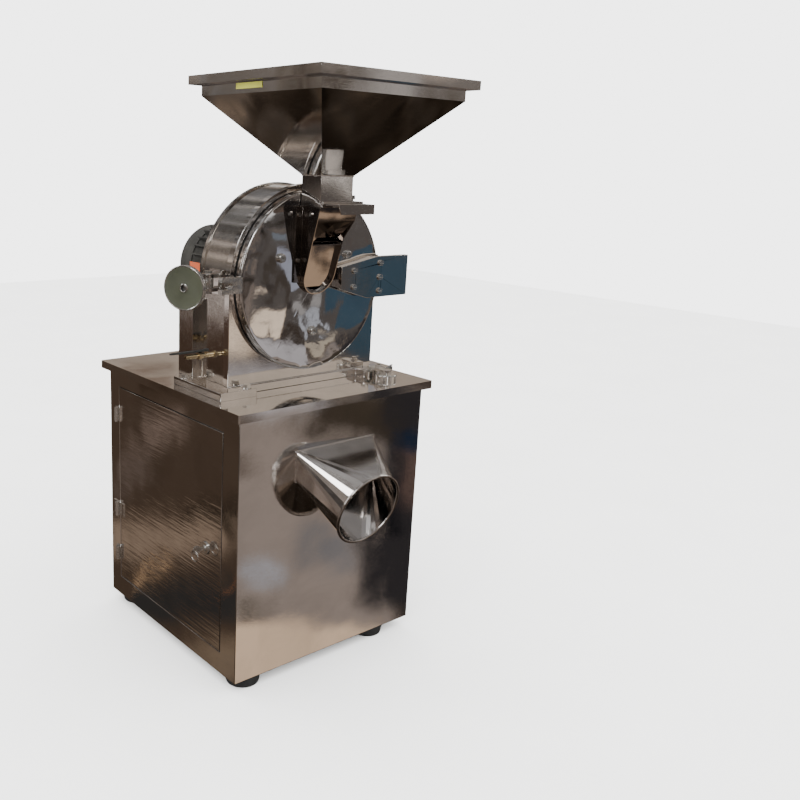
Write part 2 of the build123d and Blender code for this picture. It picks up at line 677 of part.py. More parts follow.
def water_valve():
    """Pipe stub in the chamber's side and the small brass valve that is screwed onto it."""
    wall_x = -CHAMBER_HALF + WRAP_INSET
    bore = 2.5
    stub = rod((wall_x + WRAP_WALL, VALVE_Y, VALVE_Z), (-1, 0, 0), STUB_RADIUS, WRAP_WALL + 14)
    stub -= rod((wall_x + WRAP_WALL, VALVE_Y, VALVE_Z), (-1, 0, 0), bore, WRAP_WALL + 14)
    x0 = wall_x - 14
    body = rod((x0, VALVE_Y, VALVE_Z), (-1, 0, 0), 5.5, VALVE_LENGTH)
    body += hexagon((x0, VALVE_Y, VALVE_Z), (-1, 0, 0), 7.5, 6)
    body += hexagon((x0 - VALVE_LENGTH + 9, VALVE_Y, VALVE_Z), (-1, 0, 0), 8.5, 9)
    body += rod((VALVE_X, VALVE_Y, VALVE_Z), (0, 0, 1), 4.0, VALVE_RISE)
    body += rod((x0 - VALVE_LENGTH, VALVE_Y, VALVE_Z), (-1, 0, 0), 4.4, 30)
    for step in range(4):
        ridge_x = x0 - VALVE_LENGTH - 7 - 6 * step
        body += Pos(ridge_x, VALVE_Y, VALVE_Z) * Rot(0, -90, 0) * Cone(5.4, 4.5, 4)
    body -= rod((x0, VALVE_Y, VALVE_Z), (-1, 0, 0), bore, VALVE_LENGTH + 30)
    return group([stub, body])


def valve_lever():
    low = VALVE_Z + VALVE_RISE + RUN_GAP
    lever = rod((VALVE_X, VALVE_Y, low), (0, 0, 1), 6.0, 4.0)
    reach = VALVE_X - LEVER_REACH
    outline = [
        (reach, VALVE_Y - 2), (reach, VALVE_Y + 2), (reach + 20, VALVE_Y + 5), (VALVE_X, VALVE_Y + 4),
        (VALVE_X, VALVE_Y - 4), (reach + 20, VALVE_Y - 5),
    ]
    return lever + plate_xy(outline, low, low + 3)


# ---- Grinding door ---------------------------------------------------------------------
def disc_blank():
    """Crowned disc turned about the rotor's axis."""
    rear, front = DISC_REAR_Y, DISC_FRONT_Y
    rim = DISC_RADIUS - DISC_EDGE
    crown = front - DISC_CROWN
    with BuildSketch(Plane.XY) as profile:
        with BuildLine():
            Line((0, rear), (DISC_RADIUS, rear))
            Line((DISC_RADIUS, rear), (DISC_RADIUS, front + DISC_EDGE))
            RadiusArc((DISC_RADIUS, front + DISC_EDGE), (rim, front), DISC_EDGE)
            ThreePointArc((rim, front), (rim / 2, front - DISC_CROWN * 0.75), (0, crown))
            Line((0, crown), (0, rear))
        make_face()
    turned = revolve(profile.sketch, Axis.Y, 360)
    return around_axis(Pos(0, 0, AXIS_Z) * turned, DISC_SEAM_ANGLE)


def stator_bolt_places():
    return [
        (STATOR_BOLT_CIRCLE * math.cos(math.radians(a)), AXIS_Z + STATOR_BOLT_CIRCLE * math.sin(math.radians(a)))
        for a in (30, 150, 270)
    ]


def door_disc():
    disc = disc_blank()
    disc -= rod((0, DISC_FRONT_Y - 10, BOWL_Z), (0, 1, 0), INLET_RADIUS, 40)
    for x, z in stator_bolt_places():
        disc -= rod((x, DISC_FRONT_Y - 10, z), (0, 1, 0), M10_HOLE, 40)
    return disc


def stator_ring():
    """Fixed grinding plate with two rings of teeth."""
    y0 = DISC_REAR_Y
    plate = ring_y(STATOR_OUTER, STATOR_INNER, y0, y0 + STATOR_PLATE)
    for radius, count in TOOTH_RINGS:
        for i in range(count):
            tooth = block(radius - 6, radius + 6, y0 + STATOR_PLATE, y0 + STATOR_PLATE + TOOTH_LENGTH,
                          AXIS_Z - 5, AXIS_Z + 5)
            plate += around_axis(tooth, 360.0 / count * (i + 0.5))
    for x, z in stator_bolt_places():
        plate -= rod((x, y0, z), (0, 1, 0), M10_RADIUS, STATOR_PLATE)
    return plate


def stator_bolts():
    bolts = []
    for x, z in stator_bolt_places():
        front = DISC_FRONT_Y - DISC_CROWN
        shank = rod((x, front, z), (0, 1, 0), M10_RADIUS, DISC_REAR_Y + STATOR_PLATE - front)
        head = rod((x, front, z), (0, -1, 0), 9.0, 7.0)
        head = fillet(head.edges().sort_by(Axis.Y)[0], 2.0)
        head -= hexagon((x, front - 7, z), (0, 1, 0), 4.6, 4.0)
        washer = rod((x, front, z), (0, 1, 0), 10.5, DISC_CROWN) - disc_blank()
        bolts.append(shank + head + washer)
    return group(bolts)


def door_lug():
    """Forked plate that the swing bolt drops into."""
    y0, y1 = DISC_FRONT_Y, DISC_FRONT_Y + LUG_THICK
    low, high = LUG_Z - LUG_HEIGHT / 2, LUG_Z + LUG_HEIGHT / 2
    lug = block(-LUG_REACH, -DISC_RADIUS + 6, y0, y1, low, high)
    half = LUG_SLOT / 2
    lug -= block(-LUG_REACH, -LUG_SLOT_END - half, y0, y1, LUG_Z - half, LUG_Z + half)
    lug -= rod((-LUG_SLOT_END - half, y0, LUG_Z), (0, 1, 0), half, LUG_THICK)
    return lug - disc_blank()


# ---- Door hinge ------------------------------------------------------------------------
def arm_outline(inset, right):
    return [
        (ARM_LEFT + inset, ARM_NECK_LOW + inset), (ARM_LEFT + 78, ARM_LOW + inset),
        (right, ARM_LOW + inset), (right, ARM_HIGH - inset), (ARM_LEFT + 108, ARM_HIGH - inset),
        (ARM_LEFT + inset, ARM_NECK_HIGH - inset),
    ]


def arm_screw_places():
    return [(ARM_LEFT + 38, z) for z in (842.0, 878.0)] + [(175.0, z) for z in (829.0, 860.0, 892.0)]


def hinge_arm():
    arm = plate_xz(arm_outline(0, ARM_RIGHT), ARM_FRONT_Y, SPACER_FRONT_Y)
    pin = (PIN_X, PIN_Y, KNUCKLE_LOW)
    height = KNUCKLE_HIGH - KNUCKLE_LOW
    arm += rod(pin, (0, 0, 1), KNUCKLE_RADIUS, height)
    arm += block(PIN_X - 5, PIN_X + 5, SPACER_FRONT_Y, PIN_Y, KNUCKLE_LOW, KNUCKLE_HIGH)
    arm -= rod(pin, (0, 0, 1), PIN_RADIUS + PIN_FIT, height)
    for x, z in arm_screw_places():
        arm -= rod((x, ARM_FRONT_Y, z), (0, 1, 0), 4.2, ARM_THICK)
    return arm


def hinge_spacer():
    spacer = plate_xz(arm_outline(3, 180.0), SPACER_FRONT_Y, DISC_FRONT_Y)
    for x, z in arm_screw_places():
        spacer -= rod((x, SPACER_FRONT_Y, z), (0, 1, 0), 4.2, 30)
    return spacer - disc_blank()


def door_screws():
    """Cheese-head screws of the hinge arm, of the chute's flanges and of its side."""
    screws = []
    for x, z in arm_screw_places():
        head = rod((x, ARM_FRONT_Y, z), (0, -1, 0), 6.5, 4.5)
        head -= block(x - 7, x + 7, ARM_FRONT_Y - 5, ARM_FRONT_Y - 3, z - 0.8, z + 0.8)
        screws.append(head + rod((x, ARM_FRONT_Y, z), (0, 1, 0), 4.0, DISC_FRONT_Y - ARM_FRONT_Y - 3))
    for x, z in chute_screw_places():
        y = DISC_FRONT_Y - DISC_CROWN - 4.0
        screws.append(rod((x, y, z), (0, -1, 0), 4.5, 3.0) - block(x - 5, x + 5, y - 4, y - 2, z - 0.6, z + 0.6))
    screws.append(rod((-FEED_HALF, -207, 1002), (-1, 0, 0), 4.5, 3.0))
    return group(screws)


def hinge_bracket():
    """Plate on the chamber's right side with two lugs that hold the hinge pin."""
    x0 = CHAMBER_HALF
    low, high = KNUCKLE_LOW - BRACKET_LUG - RUN_GAP, KNUCKLE_HIGH + RUN_GAP
    plate = block(x0, x0 + 8, FLANGE_FRONT_Y, BACK_REAR_Y, low - 8, high + BRACKET_LUG + 8)
    outline = [
        (x0, -90), (x0, FLANGE_FRONT_Y), (PIN_X - 12, PIN_Y - 6), (PIN_X, PIN_Y),
        (PIN_X + 10, PIN_Y + 4), (x0 + 8, -90),
    ]
    bracket = plate
    for level in (low, high):
        lug = plate_xy(outline, level, level + BRACKET_LUG)
        lug += rod((PIN_X, PIN_Y, level), (0, 0, 1), KNUCKLE_RADIUS - 1, BRACKET_LUG)
        bracket += lug
        bracket -= rod((PIN_X, PIN_Y, level), (0, 0, 1), PIN_RADIUS, BRACKET_LUG)
    return bracket


def pivot_pins():
    """Hinge pin of the grinding door and pivot pin of the swing bolt."""
    low = KNUCKLE_LOW - BRACKET_LUG - RUN_GAP
    high = KNUCKLE_HIGH + BRACKET_LUG + RUN_GAP
    pin = rod((PIN_X, PIN_Y, low), (0, 0, 1), PIN_RADIUS, high - low)
    pin += hexagon((PIN_X, PIN_Y, high), (0, 0, 1), 10.0, 7)
    pin += rod((PIN_X, PIN_Y, low - 4), (0, 0, 1), 9.0, 4)
    lug_low, lug_high = clamp_lug_levels()
    small = rod((PIVOT_X, PIVOT_Y, lug_low), (0, 0, 1), CLAMP_PIN_RADIUS, lug_high - lug_low + 8)
    small += hexagon((PIVOT_X, PIVOT_Y, lug_high + 8), (0, 0, 1), 8.5, 6)
    small += hexagon((PIVOT_X, PIVOT_Y, lug_low - 5), (0, 0, 1), 8.5, 5)
    return group([pin, small])


# ---- Feed chute and gate ---------------------------------------------------------------
def chute_screw_places():
    x = FEED_HALF + FEED_FLANGE / 2
    return [(-x, 1000.0), (-x, 905.0), (x, 905.0)]


def chute_profile(inset, y0, y1):
    """Chute section in X and Z: straight sides, a flare at the top right, a round bowl."""
    half = FEED_HALF - inset
    outline = [
        (-half, BOWL_Z), (-half, FEED_TOP), (FLARE_X - inset, FEED_TOP),
        (FLARE_X - inset, FLARE_HIGH), (half, FLARE_LOW), (half, BOWL_Z),
    ]
    return plate_xz(outline, y0, y1) + rod((0, y0, BOWL_Z), (0, 1, 0), half, y1 - y0)


def chute_front(z):
    """Front edge of the chute's side walls at a level."""
    slope = (FEED_MOUTH_Y - FEED_FOOT_Y) / (FEED_TOP - FEED_FOOT_Z)
    return FEED_FOOT_Y + slope * (z - FEED_FOOT_Z)


def front_strip(low, high, set_back, thickness):
    """Sheet that follows the sloping front edge."""
    points = [
        (chute_front(low) + set_back, low), (chute_front(high) + set_back, high),
        (chute_front(high) + set_back + thickness, high), (chute_front(low) + set_back + thickness, low),
    ]
    return plate_yz(points, -FLARE_X - 10, FLARE_X + 10)


def feed_chute():
    """Welded sheet chute: sides, bowl, upper apron, recessed lower front, lip and air baffle."""
    rear = DISC_FRONT_Y + 1
    mouth = FEED_MOUTH_Y - 1
    bowl_low = BOWL_Z - FEED_HALF
    side = [
        (rear, FEED_TOP), (FEED_MOUTH_Y, FEED_TOP), (chute_front(bowl_low), bowl_low), (rear, bowl_low),
    ]
    envelope = plate_yz(side, -FLARE_X - 10, FLARE_X + 10)
    walls = (chute_profile(0, mouth, rear) - chute_profile(FEED_SHEET, mouth, rear)) & envelope
    room = chute_profile(FEED_SHEET, mouth, rear)
    apron = room & front_strip(WINDOW_HIGH, FEED_TOP, 0.0, FEED_SHEET)
    lower = room & front_strip(bowl_low, WINDOW_LOW, FRONT_RECESS, FEED_SHEET)
    lip_y = chute_front(WINDOW_LOW)
    lip_rear = lip_y + FRONT_RECESS + FEED_SHEET
    lip = room & block(-FLARE_X, FLARE_X, lip_y, lip_rear, WINDOW_LOW - FEED_SHEET, WINDOW_LOW)
    top_y = chute_front(WINDOW_HIGH)
    baffle_line = [
        (top_y, WINDOW_HIGH), (top_y + FEED_SHEET, WINDOW_HIGH + 2), (-189, WINDOW_LOW + 6), (-191, WINDOW_LOW + 4),
    ]
    baffle = room & plate_yz(baffle_line, -FLARE_X - 10, FLARE_X + 10)
    guard_shape = [(-FLARE_X, WINDOW_HIGH + 3), (GUARD_TOP_X, WINDOW_HIGH + 3), (-FEED_HALF, WINDOW_LOW + 4)]
    guard = plate_xz(guard_shape, FEED_MOUTH_Y - 10, rear) & room
    guard = guard & front_strip(WINDOW_LOW, WINDOW_HIGH + 3, GUARD_RECESS, FEED_SHEET)
    flange_y = DISC_FRONT_Y - DISC_CROWN - 4.0
    left = block(-FEED_HALF - FEED_FLANGE, -FEED_HALF, flange_y, rear, BOWL_Z - 15, FEED_TOP)
    right = block(FEED_HALF, FEED_HALF + FEED_FLANGE, flange_y, rear, BOWL_Z - 15, FLARE_LOW - 2)
    return (walls + apron + lower + lip + baffle + guard + left + right) - disc_blank()


def gate_frame():
    """Flat housing between the hopper neck and the chute, slotted for the gate."""
    low = FEED_TOP
    rear = DISC_FRONT_Y - DISC_CROWN
    front = HOPPER_FRONT - 10
    frame = block(GATE_LEFT, GATE_RIGHT, front, rear, low, GATE_TOP)
    slot_low = low + 4.0
    slot_high = slot_low + GATE_PLATE + 2 * GATE_FIT
    frame -= block(
        GATE_PLATE_LEFT - GATE_FIT, GATE_PLATE_RIGHT + GATE_FIT, front, GATE_REAR_Y + GATE_FIT,
        slot_low, slot_high,
    )
    half_x, half_y = NECK_X - 4.0, NECK_Y - 3.0
    frame -= block(-half_x, half_x, HOPPER_Y - half_y, HOPPER_Y + half_y, low, GATE_TOP)
    lock = lock_screw_place()
    return frame - rod((lock[0], lock[1], slot_high), (0, 0, 1), 3.0 + FIT, GATE_TOP - slot_high)


def feed_gate():
    """Sliding plate with a turned-down front grip."""
    low = FEED_TOP + 4.0 + GATE_FIT
    high = low + GATE_PLATE
    plate = block(GATE_PLATE_LEFT, GATE_PLATE_RIGHT, GATE_FRONT_Y, GATE_REAR_Y, low, high)
    grip = plate_xz([
        (GATE_PLATE_LEFT, high), (GATE_PLATE_RIGHT, high), (GATE_PLATE_RIGHT, high - HANDLE_DROP),
        (GATE_PLATE_LEFT + 9, high - HANDLE_DROP),
    ], GATE_FRONT_Y - 2.5, GATE_FRONT_Y)
    return plate + grip


def lock_screw_place():
    return (GATE_RIGHT - 12.0, HOPPER_FRONT + 12.0)


def gate_lock_screw():
    x, y = lock_screw_place()
    tip = FEED_TOP + 4.0 + 2 * GATE_FIT + GATE_PLATE + RUN_GAP
    screw = rod((x, y, tip), (0, 0, 1), 3.0, GATE_TOP - tip + 6)
    knob = rod((x, y, GATE_TOP + 4), (0, 0, 1), 6.5, 8)
    for i in range(12):
        groove = rod((x + 6.9, y, GATE_TOP + 4), (0, 0, 1), 0.8, 8)
        knob -= groove.rotate(Axis((x, y, 0), (0, 0, 1)), 30.0 * i)
    return screw + knob


# ---- Hopper ----------------------------------------------------------------------------
def square_tube(half_x, half_y, wall, z0, z1):
    outer = block(-half_x, half_x, HOPPER_Y - half_y, HOPPER_Y + half_y, z0, z1)
    inner = block(-half_x + wall, half_x - wall, HOPPER_Y - half_y + wall, HOPPER_Y + half_y - wall, z0, z1)
    return outer - inner


def hopper_neck():
    return square_tube(NECK_X, NECK_Y, FEED_SHEET, GATE_TOP, NECK_TOP)


def cone_body(inset):
    x, y, top = NECK_X - inset, NECK_Y - inset, SKIRT_HALF - inset
    low = Pos(0, HOPPER_Y, NECK_TOP) * Rectangle(2 * x, 2 * y)
    high = Pos(0, HOPPER_Y, SKIRT_LOW) * Rectangle(2 * top, 2 * top)
    return loft([low, high], ruled=True)


def hopper():
    cone = cone_body(0.0) - cone_body(FEED_SHEET)
    skirt = square_tube(SKIRT_HALF, SKIRT_HALF, FEED_SHEET, SKIRT_LOW, RIM_LOW)
    ledge = square_tube(RIM_HALF, RIM_HALF, RIM_HALF - SKIRT_HALF + FEED_SHEET, RIM_LOW, RIM_LOW + FEED_SHEET)
    rim = square_tube(RIM_HALF, RIM_HALF, FEED_SHEET, RIM_LOW, RIM_TOP)
    return cone + skirt + ledge + rim


# ---- Swing clamp -----------------------------------------------------------------------
def clamp_lug_levels():
    half = EYE_HEIGHT / 2 + RUN_GAP
    return LUG_Z - half - 8.0, LUG_Z + half


def clamp_bracket():
    wall_x = -CHAMBER_HALF + WRAP_INSET
    low, high = clamp_lug_levels()
    pad = block(wall_x - 6, wall_x, PIVOT_Y - 22, PIVOT_Y + 24, low - 8, high + 16)
    bracket = pad
    for level in (low, high):
        lug = block(PIVOT_X, wall_x - 6, PIVOT_Y - 14, PIVOT_Y + 14, level, level + 8)
        lug += rod((PIVOT_X, PIVOT_Y, level), (0, 0, 1), 14.0, 8)
        bracket += lug
        bracket -= rod((PIVOT_X, PIVOT_Y, level), (0, 0, 1), CLAMP_PIN_RADIUS, 8)
    return bracket


def bolt_direction():
    """Direction of the swing bolt in the unclamped state."""
    angle = math.radians(OPEN_ANGLE)
    return (-math.sin(angle), -math.cos(angle), 0)


def along_bolt(distance):
    d = bolt_direction()
    return (PIVOT_X + d[0] * distance, PIVOT_Y + d[1] * distance, LUG_Z)


def swing_bolt():
    low = LUG_Z - EYE_HEIGHT / 2
    eye = rod((PIVOT_X, PIVOT_Y, low), (0, 0, 1), EYE_RADIUS, EYE_HEIGHT)
    bolt = eye + rod(along_bolt(0), bolt_direction(), BOLT_RADIUS, BOLT_LENGTH)
    return bolt - rod((PIVOT_X, PIVOT_Y, low), (0, 0, 1), CLAMP_PIN_RADIUS + PIN_FIT, EYE_HEIGHT)


def clamp_washer():
    washer = rod(along_bolt(WASHER_AT), bolt_direction(), 13.0, WASHER_THICK)
    return washer - rod(along_bolt(WASHER_AT), bolt_direction(), BOLT_RADIUS + PIN_FIT, WASHER_THICK)


def handwheel():
    d = bolt_direction()
    hub_at = WASHER_AT + WASHER_THICK + RUN_GAP
    wheel_at = WHEEL_FACE - WHEEL_THICK - 1
    hub = rod(along_bolt(hub_at), d, WHEEL_HUB_RADIUS, WHEEL_FACE - hub_at)
    rim = rod(along_bolt(wheel_at), d, WHEEL_RADIUS, WHEEL_THICK)
    rim = fillet(rim.edges().filter_by(GeomType.CIRCLE), 1.5)
    wheel = hub + rim
    return wheel - rod(along_bolt(hub_at), d, BOLT_RADIUS + PIN_FIT, WHEEL_FACE - hub_at)


# ---- Rotor -----------------------------------------------------------------------------
def turned(steps):
    """Shaft made of cylinders, each given by its start, end and radius along Y."""
    shaft = None
    for y0, y1, radius in steps:
        piece = rod((0, y0, AXIS_Z), (0, 1, 0), radius, y1 - y0)
        shaft = piece if shaft is None else shaft + piece
    return shaft


def motor_shaft():
    """Shaft with the squirrel-cage core shrunk onto it."""
    core0, core1 = FRAME_FRONT_Y + 44, FRAME_REAR_Y - 42
    seat = MOTOR_FRONT_Y + 30
    rear_seat = FRAME_REAR_Y - 8
    shaft = turned([
        (ROTOR_FRONT_Y - 22, ROTOR_FRONT_Y, SHAFT_NOSE),
        (ROTOR_FRONT_Y, ROTOR_REAR_Y, SHAFT_ROTOR),
        (ROTOR_REAR_Y, seat + 16, SHAFT_SEAL),
        (seat + 16, rear_seat, SHAFT_CORE),
        (rear_seat, FRAME_REAR_Y + 38, SHAFT_TAIL),
    ])
    core = ring_y(54.4, SHAFT_CORE, core0, core1)
    return group([shaft, core])


def hammer_pin_places():
    """Pin centres in X and Z, first the upper right one and then round the circle."""
    step = 2 * math.pi / HAMMER_COUNT
    angles = [step * (i + 0.5) for i in range(HAMMER_COUNT)]
    return [(HAMMER_CIRCLE * math.cos(a), AXIS_Z + HAMMER_CIRCLE * math.sin(a)) for a in angles]


def rotor_hub():
    """Two carrier plates on a hub; the hammer pins pass through both."""
    hub = rod((0, ROTOR_FRONT_Y, AXIS_Z), (0, 1, 0), HUB_RADIUS, ROTOR_REAR_Y - ROTOR_FRONT_Y)
    for y in (ROTOR_FRONT_Y, ROTOR_REAR_Y - ROTOR_PLATE):
        hub += rod((0, y, AXIS_Z), (0, 1, 0), ROTOR_RADIUS, ROTOR_PLATE)
    hub -= rod((0, ROTOR_FRONT_Y, AXIS_Z), (0, 1, 0), SHAFT_ROTOR, ROTOR_REAR_Y - ROTOR_FRONT_Y)
    for x, z in hammer_pin_places():
        hub -= rod((x, ROTOR_FRONT_Y, z), (0, 1, 0), HAMMER_PIN, ROTOR_REAR_Y - ROTOR_FRONT_Y)
    return hub


def rotor_fasteners():
    """Hammer pins with their heads, and the nut that holds the hub on the shaft."""
    parts = []
    for x, z in hammer_pin_places():
        pin = rod((x, ROTOR_FRONT_Y - 3, z), (0, 1, 0), HAMMER_PIN, ROTOR_REAR_Y - ROTOR_FRONT_Y + 6)
        pin += rod((x, ROTOR_FRONT_Y - 3, z), (0, 1, 0), HAMMER_PIN + 3, 3)
        pin += rod((x, ROTOR_REAR_Y, z), (0, 1, 0), HAMMER_PIN + 3, 3)
        parts.append(pin)
    nut = rod((0, ROTOR_FRONT_Y - 3, AXIS_Z), (0, 1, 0), 22.0, 3)
    nut += hexagon((0, ROTOR_FRONT_Y - 3, AXIS_Z), (0, -1, 0), 19.0, 13)
    nut -= rod((0, ROTOR_FRONT_Y, AXIS_Z), (0, -1, 0), SHAFT_NOSE, 16)
    parts.append(nut)
    return group(parts)


def hammer(index):
    """Swinging hammer that hangs straight down from its pin."""
    y0 = ROTOR_FRONT_Y + ROTOR_PLATE + HAMMER_GAP
    y1 = ROTOR_REAR_Y - ROTOR_PLATE - HAMMER_GAP
    half = HAMMER_WIDTH / 2
    x, z = hammer_pin_places()[index]
    beater = rod((x, y0, z), (0, 1, 0), half, y1 - y0)
    beater += block(x - half, x + half, y0, y1, z - HAMMER_REACH, z)
    beater = chamfer(beater.edges().filter_by(Axis.Y).sort_by(Axis.Z)[:2], 3.0)
    return beater - rod((x, y0, z), (0, 1, 0), HAMMER_PIN + PIN_FIT, y1 - y0)


def shaft_seal():
    return ring_y(30.0, SHAFT_SEAL + PIN_FIT, BACK_FRONT_Y, BACK_REAR_Y)


# ---- Motor -----------------------------------------------------------------------------
def motor_stand():
    """Pedestal behind the chamber, open below, with a saddle cut for the motor flange."""
    stand = block(-STAND_HALF, STAND_HALF, BACK_REAR_Y, STAND_REAR_Y, BASE_TOP, STAND_TOP)
    wall = STAND_WALL
    stand -= block(-STAND_HALF + wall, STAND_HALF - wall, BACK_REAR_Y + wall, STAND_REAR_Y - wall,
                   BASE_TOP, STAND_TOP - wall)
    return stand - rod((0, BACK_REAR_Y, AXIS_Z), (0, 1, 0), SADDLE_RADIUS, STAND_REAR_Y - BACK_REAR_Y)


def motor_frame():
    frame = rod((0, FRAME_FRONT_Y, AXIS_Z), (0, 1, 0), FRAME_OUTER, FRAME_LENGTH)
    fins = []
    for i in range(FIN_COUNT):
        fin = block(FRAME_OUTER - 2, FIN_RADIUS, FRAME_FRONT_Y + 8, FRAME_REAR_Y - 10,
                    AXIS_Z - FIN_THICK / 2, AXIS_Z + FIN_THICK / 2)
        fins.append(around_axis(fin, 360.0 / FIN_COUNT * (i + 0.5)))
    frame += fins
    box_y = FRAME_FRONT_Y + BOX_FRONT
    frame += block(FRAME_INNER - 6, BOX_PAD_X, box_y, box_y + BOX_LENGTH, AXIS_Z - BOX_BELOW, AXIS_Z + BOX_ABOVE)
    return frame - rod((0, FRAME_FRONT_Y, AXIS_Z), (0, 1, 0), FRAME_INNER, FRAME_LENGTH)


def motor_endshields():
    """Front shield with its mounting flange, and rear shield; both hold a bearing."""
    y0 = MOTOR_FRONT_Y
    front = ring_y(SHIELD_FLANGE, SHAFT_SEAL + 2, y0, y0 + 10)
    front += ring_y(FRAME_OUTER, BEARING_OUTER_FRONT, y0 + 10, FRAME_FRONT_Y)
    front += ring_y(BEARING_OUTER_FRONT + 11, BEARING_OUTER_FRONT, y0 + 10, y0 + 46)
    front += ring_y(BEARING_OUTER_FRONT, SHAFT_SEAL + 2, y0 + 10, y0 + 30)
    y1 = FRAME_REAR_Y
    rear = ring_y(COWL_OUTER - COWL_WALL, BEARING_OUTER_REAR, y1, y1 + 10)
    rear += ring_y(BEARING_OUTER_REAR + 10, BEARING_OUTER_REAR, y1 - 8, y1 + 10)
    return group([front, rear])


def motor_bearings():
    y0 = MOTOR_FRONT_Y + 30
    y1 = FRAME_REAR_Y - 8
    front = ring_y(BEARING_OUTER_FRONT, SHAFT_SEAL + FIT, y0, y0 + 16)
    rear = ring_y(BEARING_OUTER_REAR, SHAFT_TAIL + FIT, y1, y1 + 15)
    return group([front, rear])


def motor_stator():
    """Laminated core with the winding heads at both ends."""
    core0, core1 = FRAME_FRONT_Y + 44, FRAME_REAR_Y - 42
    core = ring_y(FRAME_INNER, 55.0, core0, core1)
    core += ring_y(80.0, 59.0, core0 - 18, core0)
    return core + ring_y(80.0, 59.0, core1, core1 + 18)


def motor_fan():
    y0 = FRAME_REAR_Y + 16
    hub = ring_y(22.0, SHAFT_TAIL, y0, y0 + 20)
    hub += ring_y(74.0, 20.0, y0, y0 + 2.5)
    for i in range(7):
        blade = block(20, 78, y0, y0 + 20, AXIS_Z - 1.2, AXIS_Z + 1.2)
        hub += around_axis(blade, 360.0 / 7 * i)
    return hub


def fan_cowl():
    y0 = FRAME_REAR_Y - 2
    y1 = y0 + COWL_LENGTH
    wall = COWL_WALL
    cowl = ring_y(COWL_OUTER, COWL_OUTER - wall, y0, y1)
    cowl += rod((0, y1 - wall, AXIS_Z), (0, 1, 0), COWL_OUTER, wall)
    for radius, count in ((30.0, 8), (52.0, 12), (74.0, 16)):
        for i in range(count):
            slot = block(radius - 9, radius + 9, y1 - wall, y1, AXIS_Z - 2.5, AXIS_Z + 2.5)
            cowl -= around_axis(slot, 360.0 / count * i)
    return cowl


def terminal_box():
    """Connection box on the motor's right side, with an empty cable gland behind."""
    x0, x1 = BOX_PAD_X, BOX_LID_X
    y0 = FRAME_FRONT_Y + BOX_FRONT
    y1 = y0 + BOX_LENGTH
    low, high = AXIS_Z - BOX_BELOW, AXIS_Z + BOX_ABOVE
    box = block(x0, x1, y0, y1, low, high)
    box = fillet(box.edges().filter_by(Axis.X), 5.0)
    lid = fillet(block(x1, x1 + 4, y0 - 2, y1 + 2, low - 2, high + 2).edges().filter_by(Axis.X), 6.0)
    box += lid
    start = (x1 - 18, y1, AXIS_Z)
    gland = hexagon(start, (0, 1, 0), 12.5, 6) + rod(start, (0, 1, 0), 10.0, GLAND_LENGTH)
    return box + (gland - rod(start, (0, 1, 0), GLAND_BORE, GLAND_LENGTH))


NODES = {
    "cabinet_frame": cabinet_frame,
    "cabinet_shell": cabinet_shell,
    "floor_panel": floor_panel,
    "tabletop": tabletop,
    "rubber_feet": rubber_feet,
    "foot_bolts": foot_bolts,
    "cabinet_door": cabinet_door,
    "door_hinge_fixed_leaves": lambda: hinge_leaves(1),
    "door_hinge_moving_leaves": lambda: hinge_leaves(-1),
    "door_hinge_pins": hinge_pins,
    "lock_body": lock_body,
    "lock_cam": lock_cam,
    "discharge_funnel": discharge_funnel,
    "discharge_spout": discharge_spout,
    "chamber_base": chamber_base,
    "base_bolts": base_bolts,
    "hold_down_clamp": hold_down_clamp,
    "chamber_flange": chamber_flange,
    "chamber_wrapper": chamber_wrapper,
    "chamber_back_plate": chamber_back_plate,
    "screen_ring": screen_ring,
    "door_gasket": door_gasket,
    "water_valve": water_valve,
    "valve_lever": valve_lever,
    "door_disc": door_disc,
    "stator_ring": stator_ring,
    "stator_bolts": stator_bolts,
    "door_lug": door_lug,
    "hinge_arm": hinge_arm,
    "hinge_spacer": hinge_spacer,
    "door_screws": door_screws,
    "hinge_bracket": hinge_bracket,
    "pivot_pins": pivot_pins,
    "feed_chute": feed_chute,
    "gate_frame": gate_frame,
    "feed_gate": feed_gate,
    "gate_lock_screw": gate_lock_screw,
    "hopper_neck": hopper_neck,
    "hopper": hopper,
    "clamp_bracket": clamp_bracket,
    "swing_bolt": swing_bolt,
    "clamp_washer": clamp_washer,
    "handwheel": handwheel,
    "motor_shaft": motor_shaft,
    "rotor_hub": rotor_hub,
    "rotor_fasteners": rotor_fasteners,
    "shaft_seal": shaft_seal,
    "motor_stand": motor_stand,
    "motor_frame": motor_frame,
    "motor_endshields": motor_endshields,
    "motor_bearings": motor_bearings,
    "motor_stator": motor_stator,
    "motor_fan": motor_fan,
    "fan_cowl": fan_cowl,
    "terminal_box": terminal_box,
}


def main():
    os.makedirs("parts", exist_ok=True)
    for name, make in NODES.items():
        export_step(make(), f"parts/{name}.step")
    for index in range(HAMMER_COUNT):
        export_step(hammer(index), f"parts/hammer_{index + 1}.step")


main()
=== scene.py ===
import math

import bmesh
import bpy
from mathutils import Matrix, Vector, noise


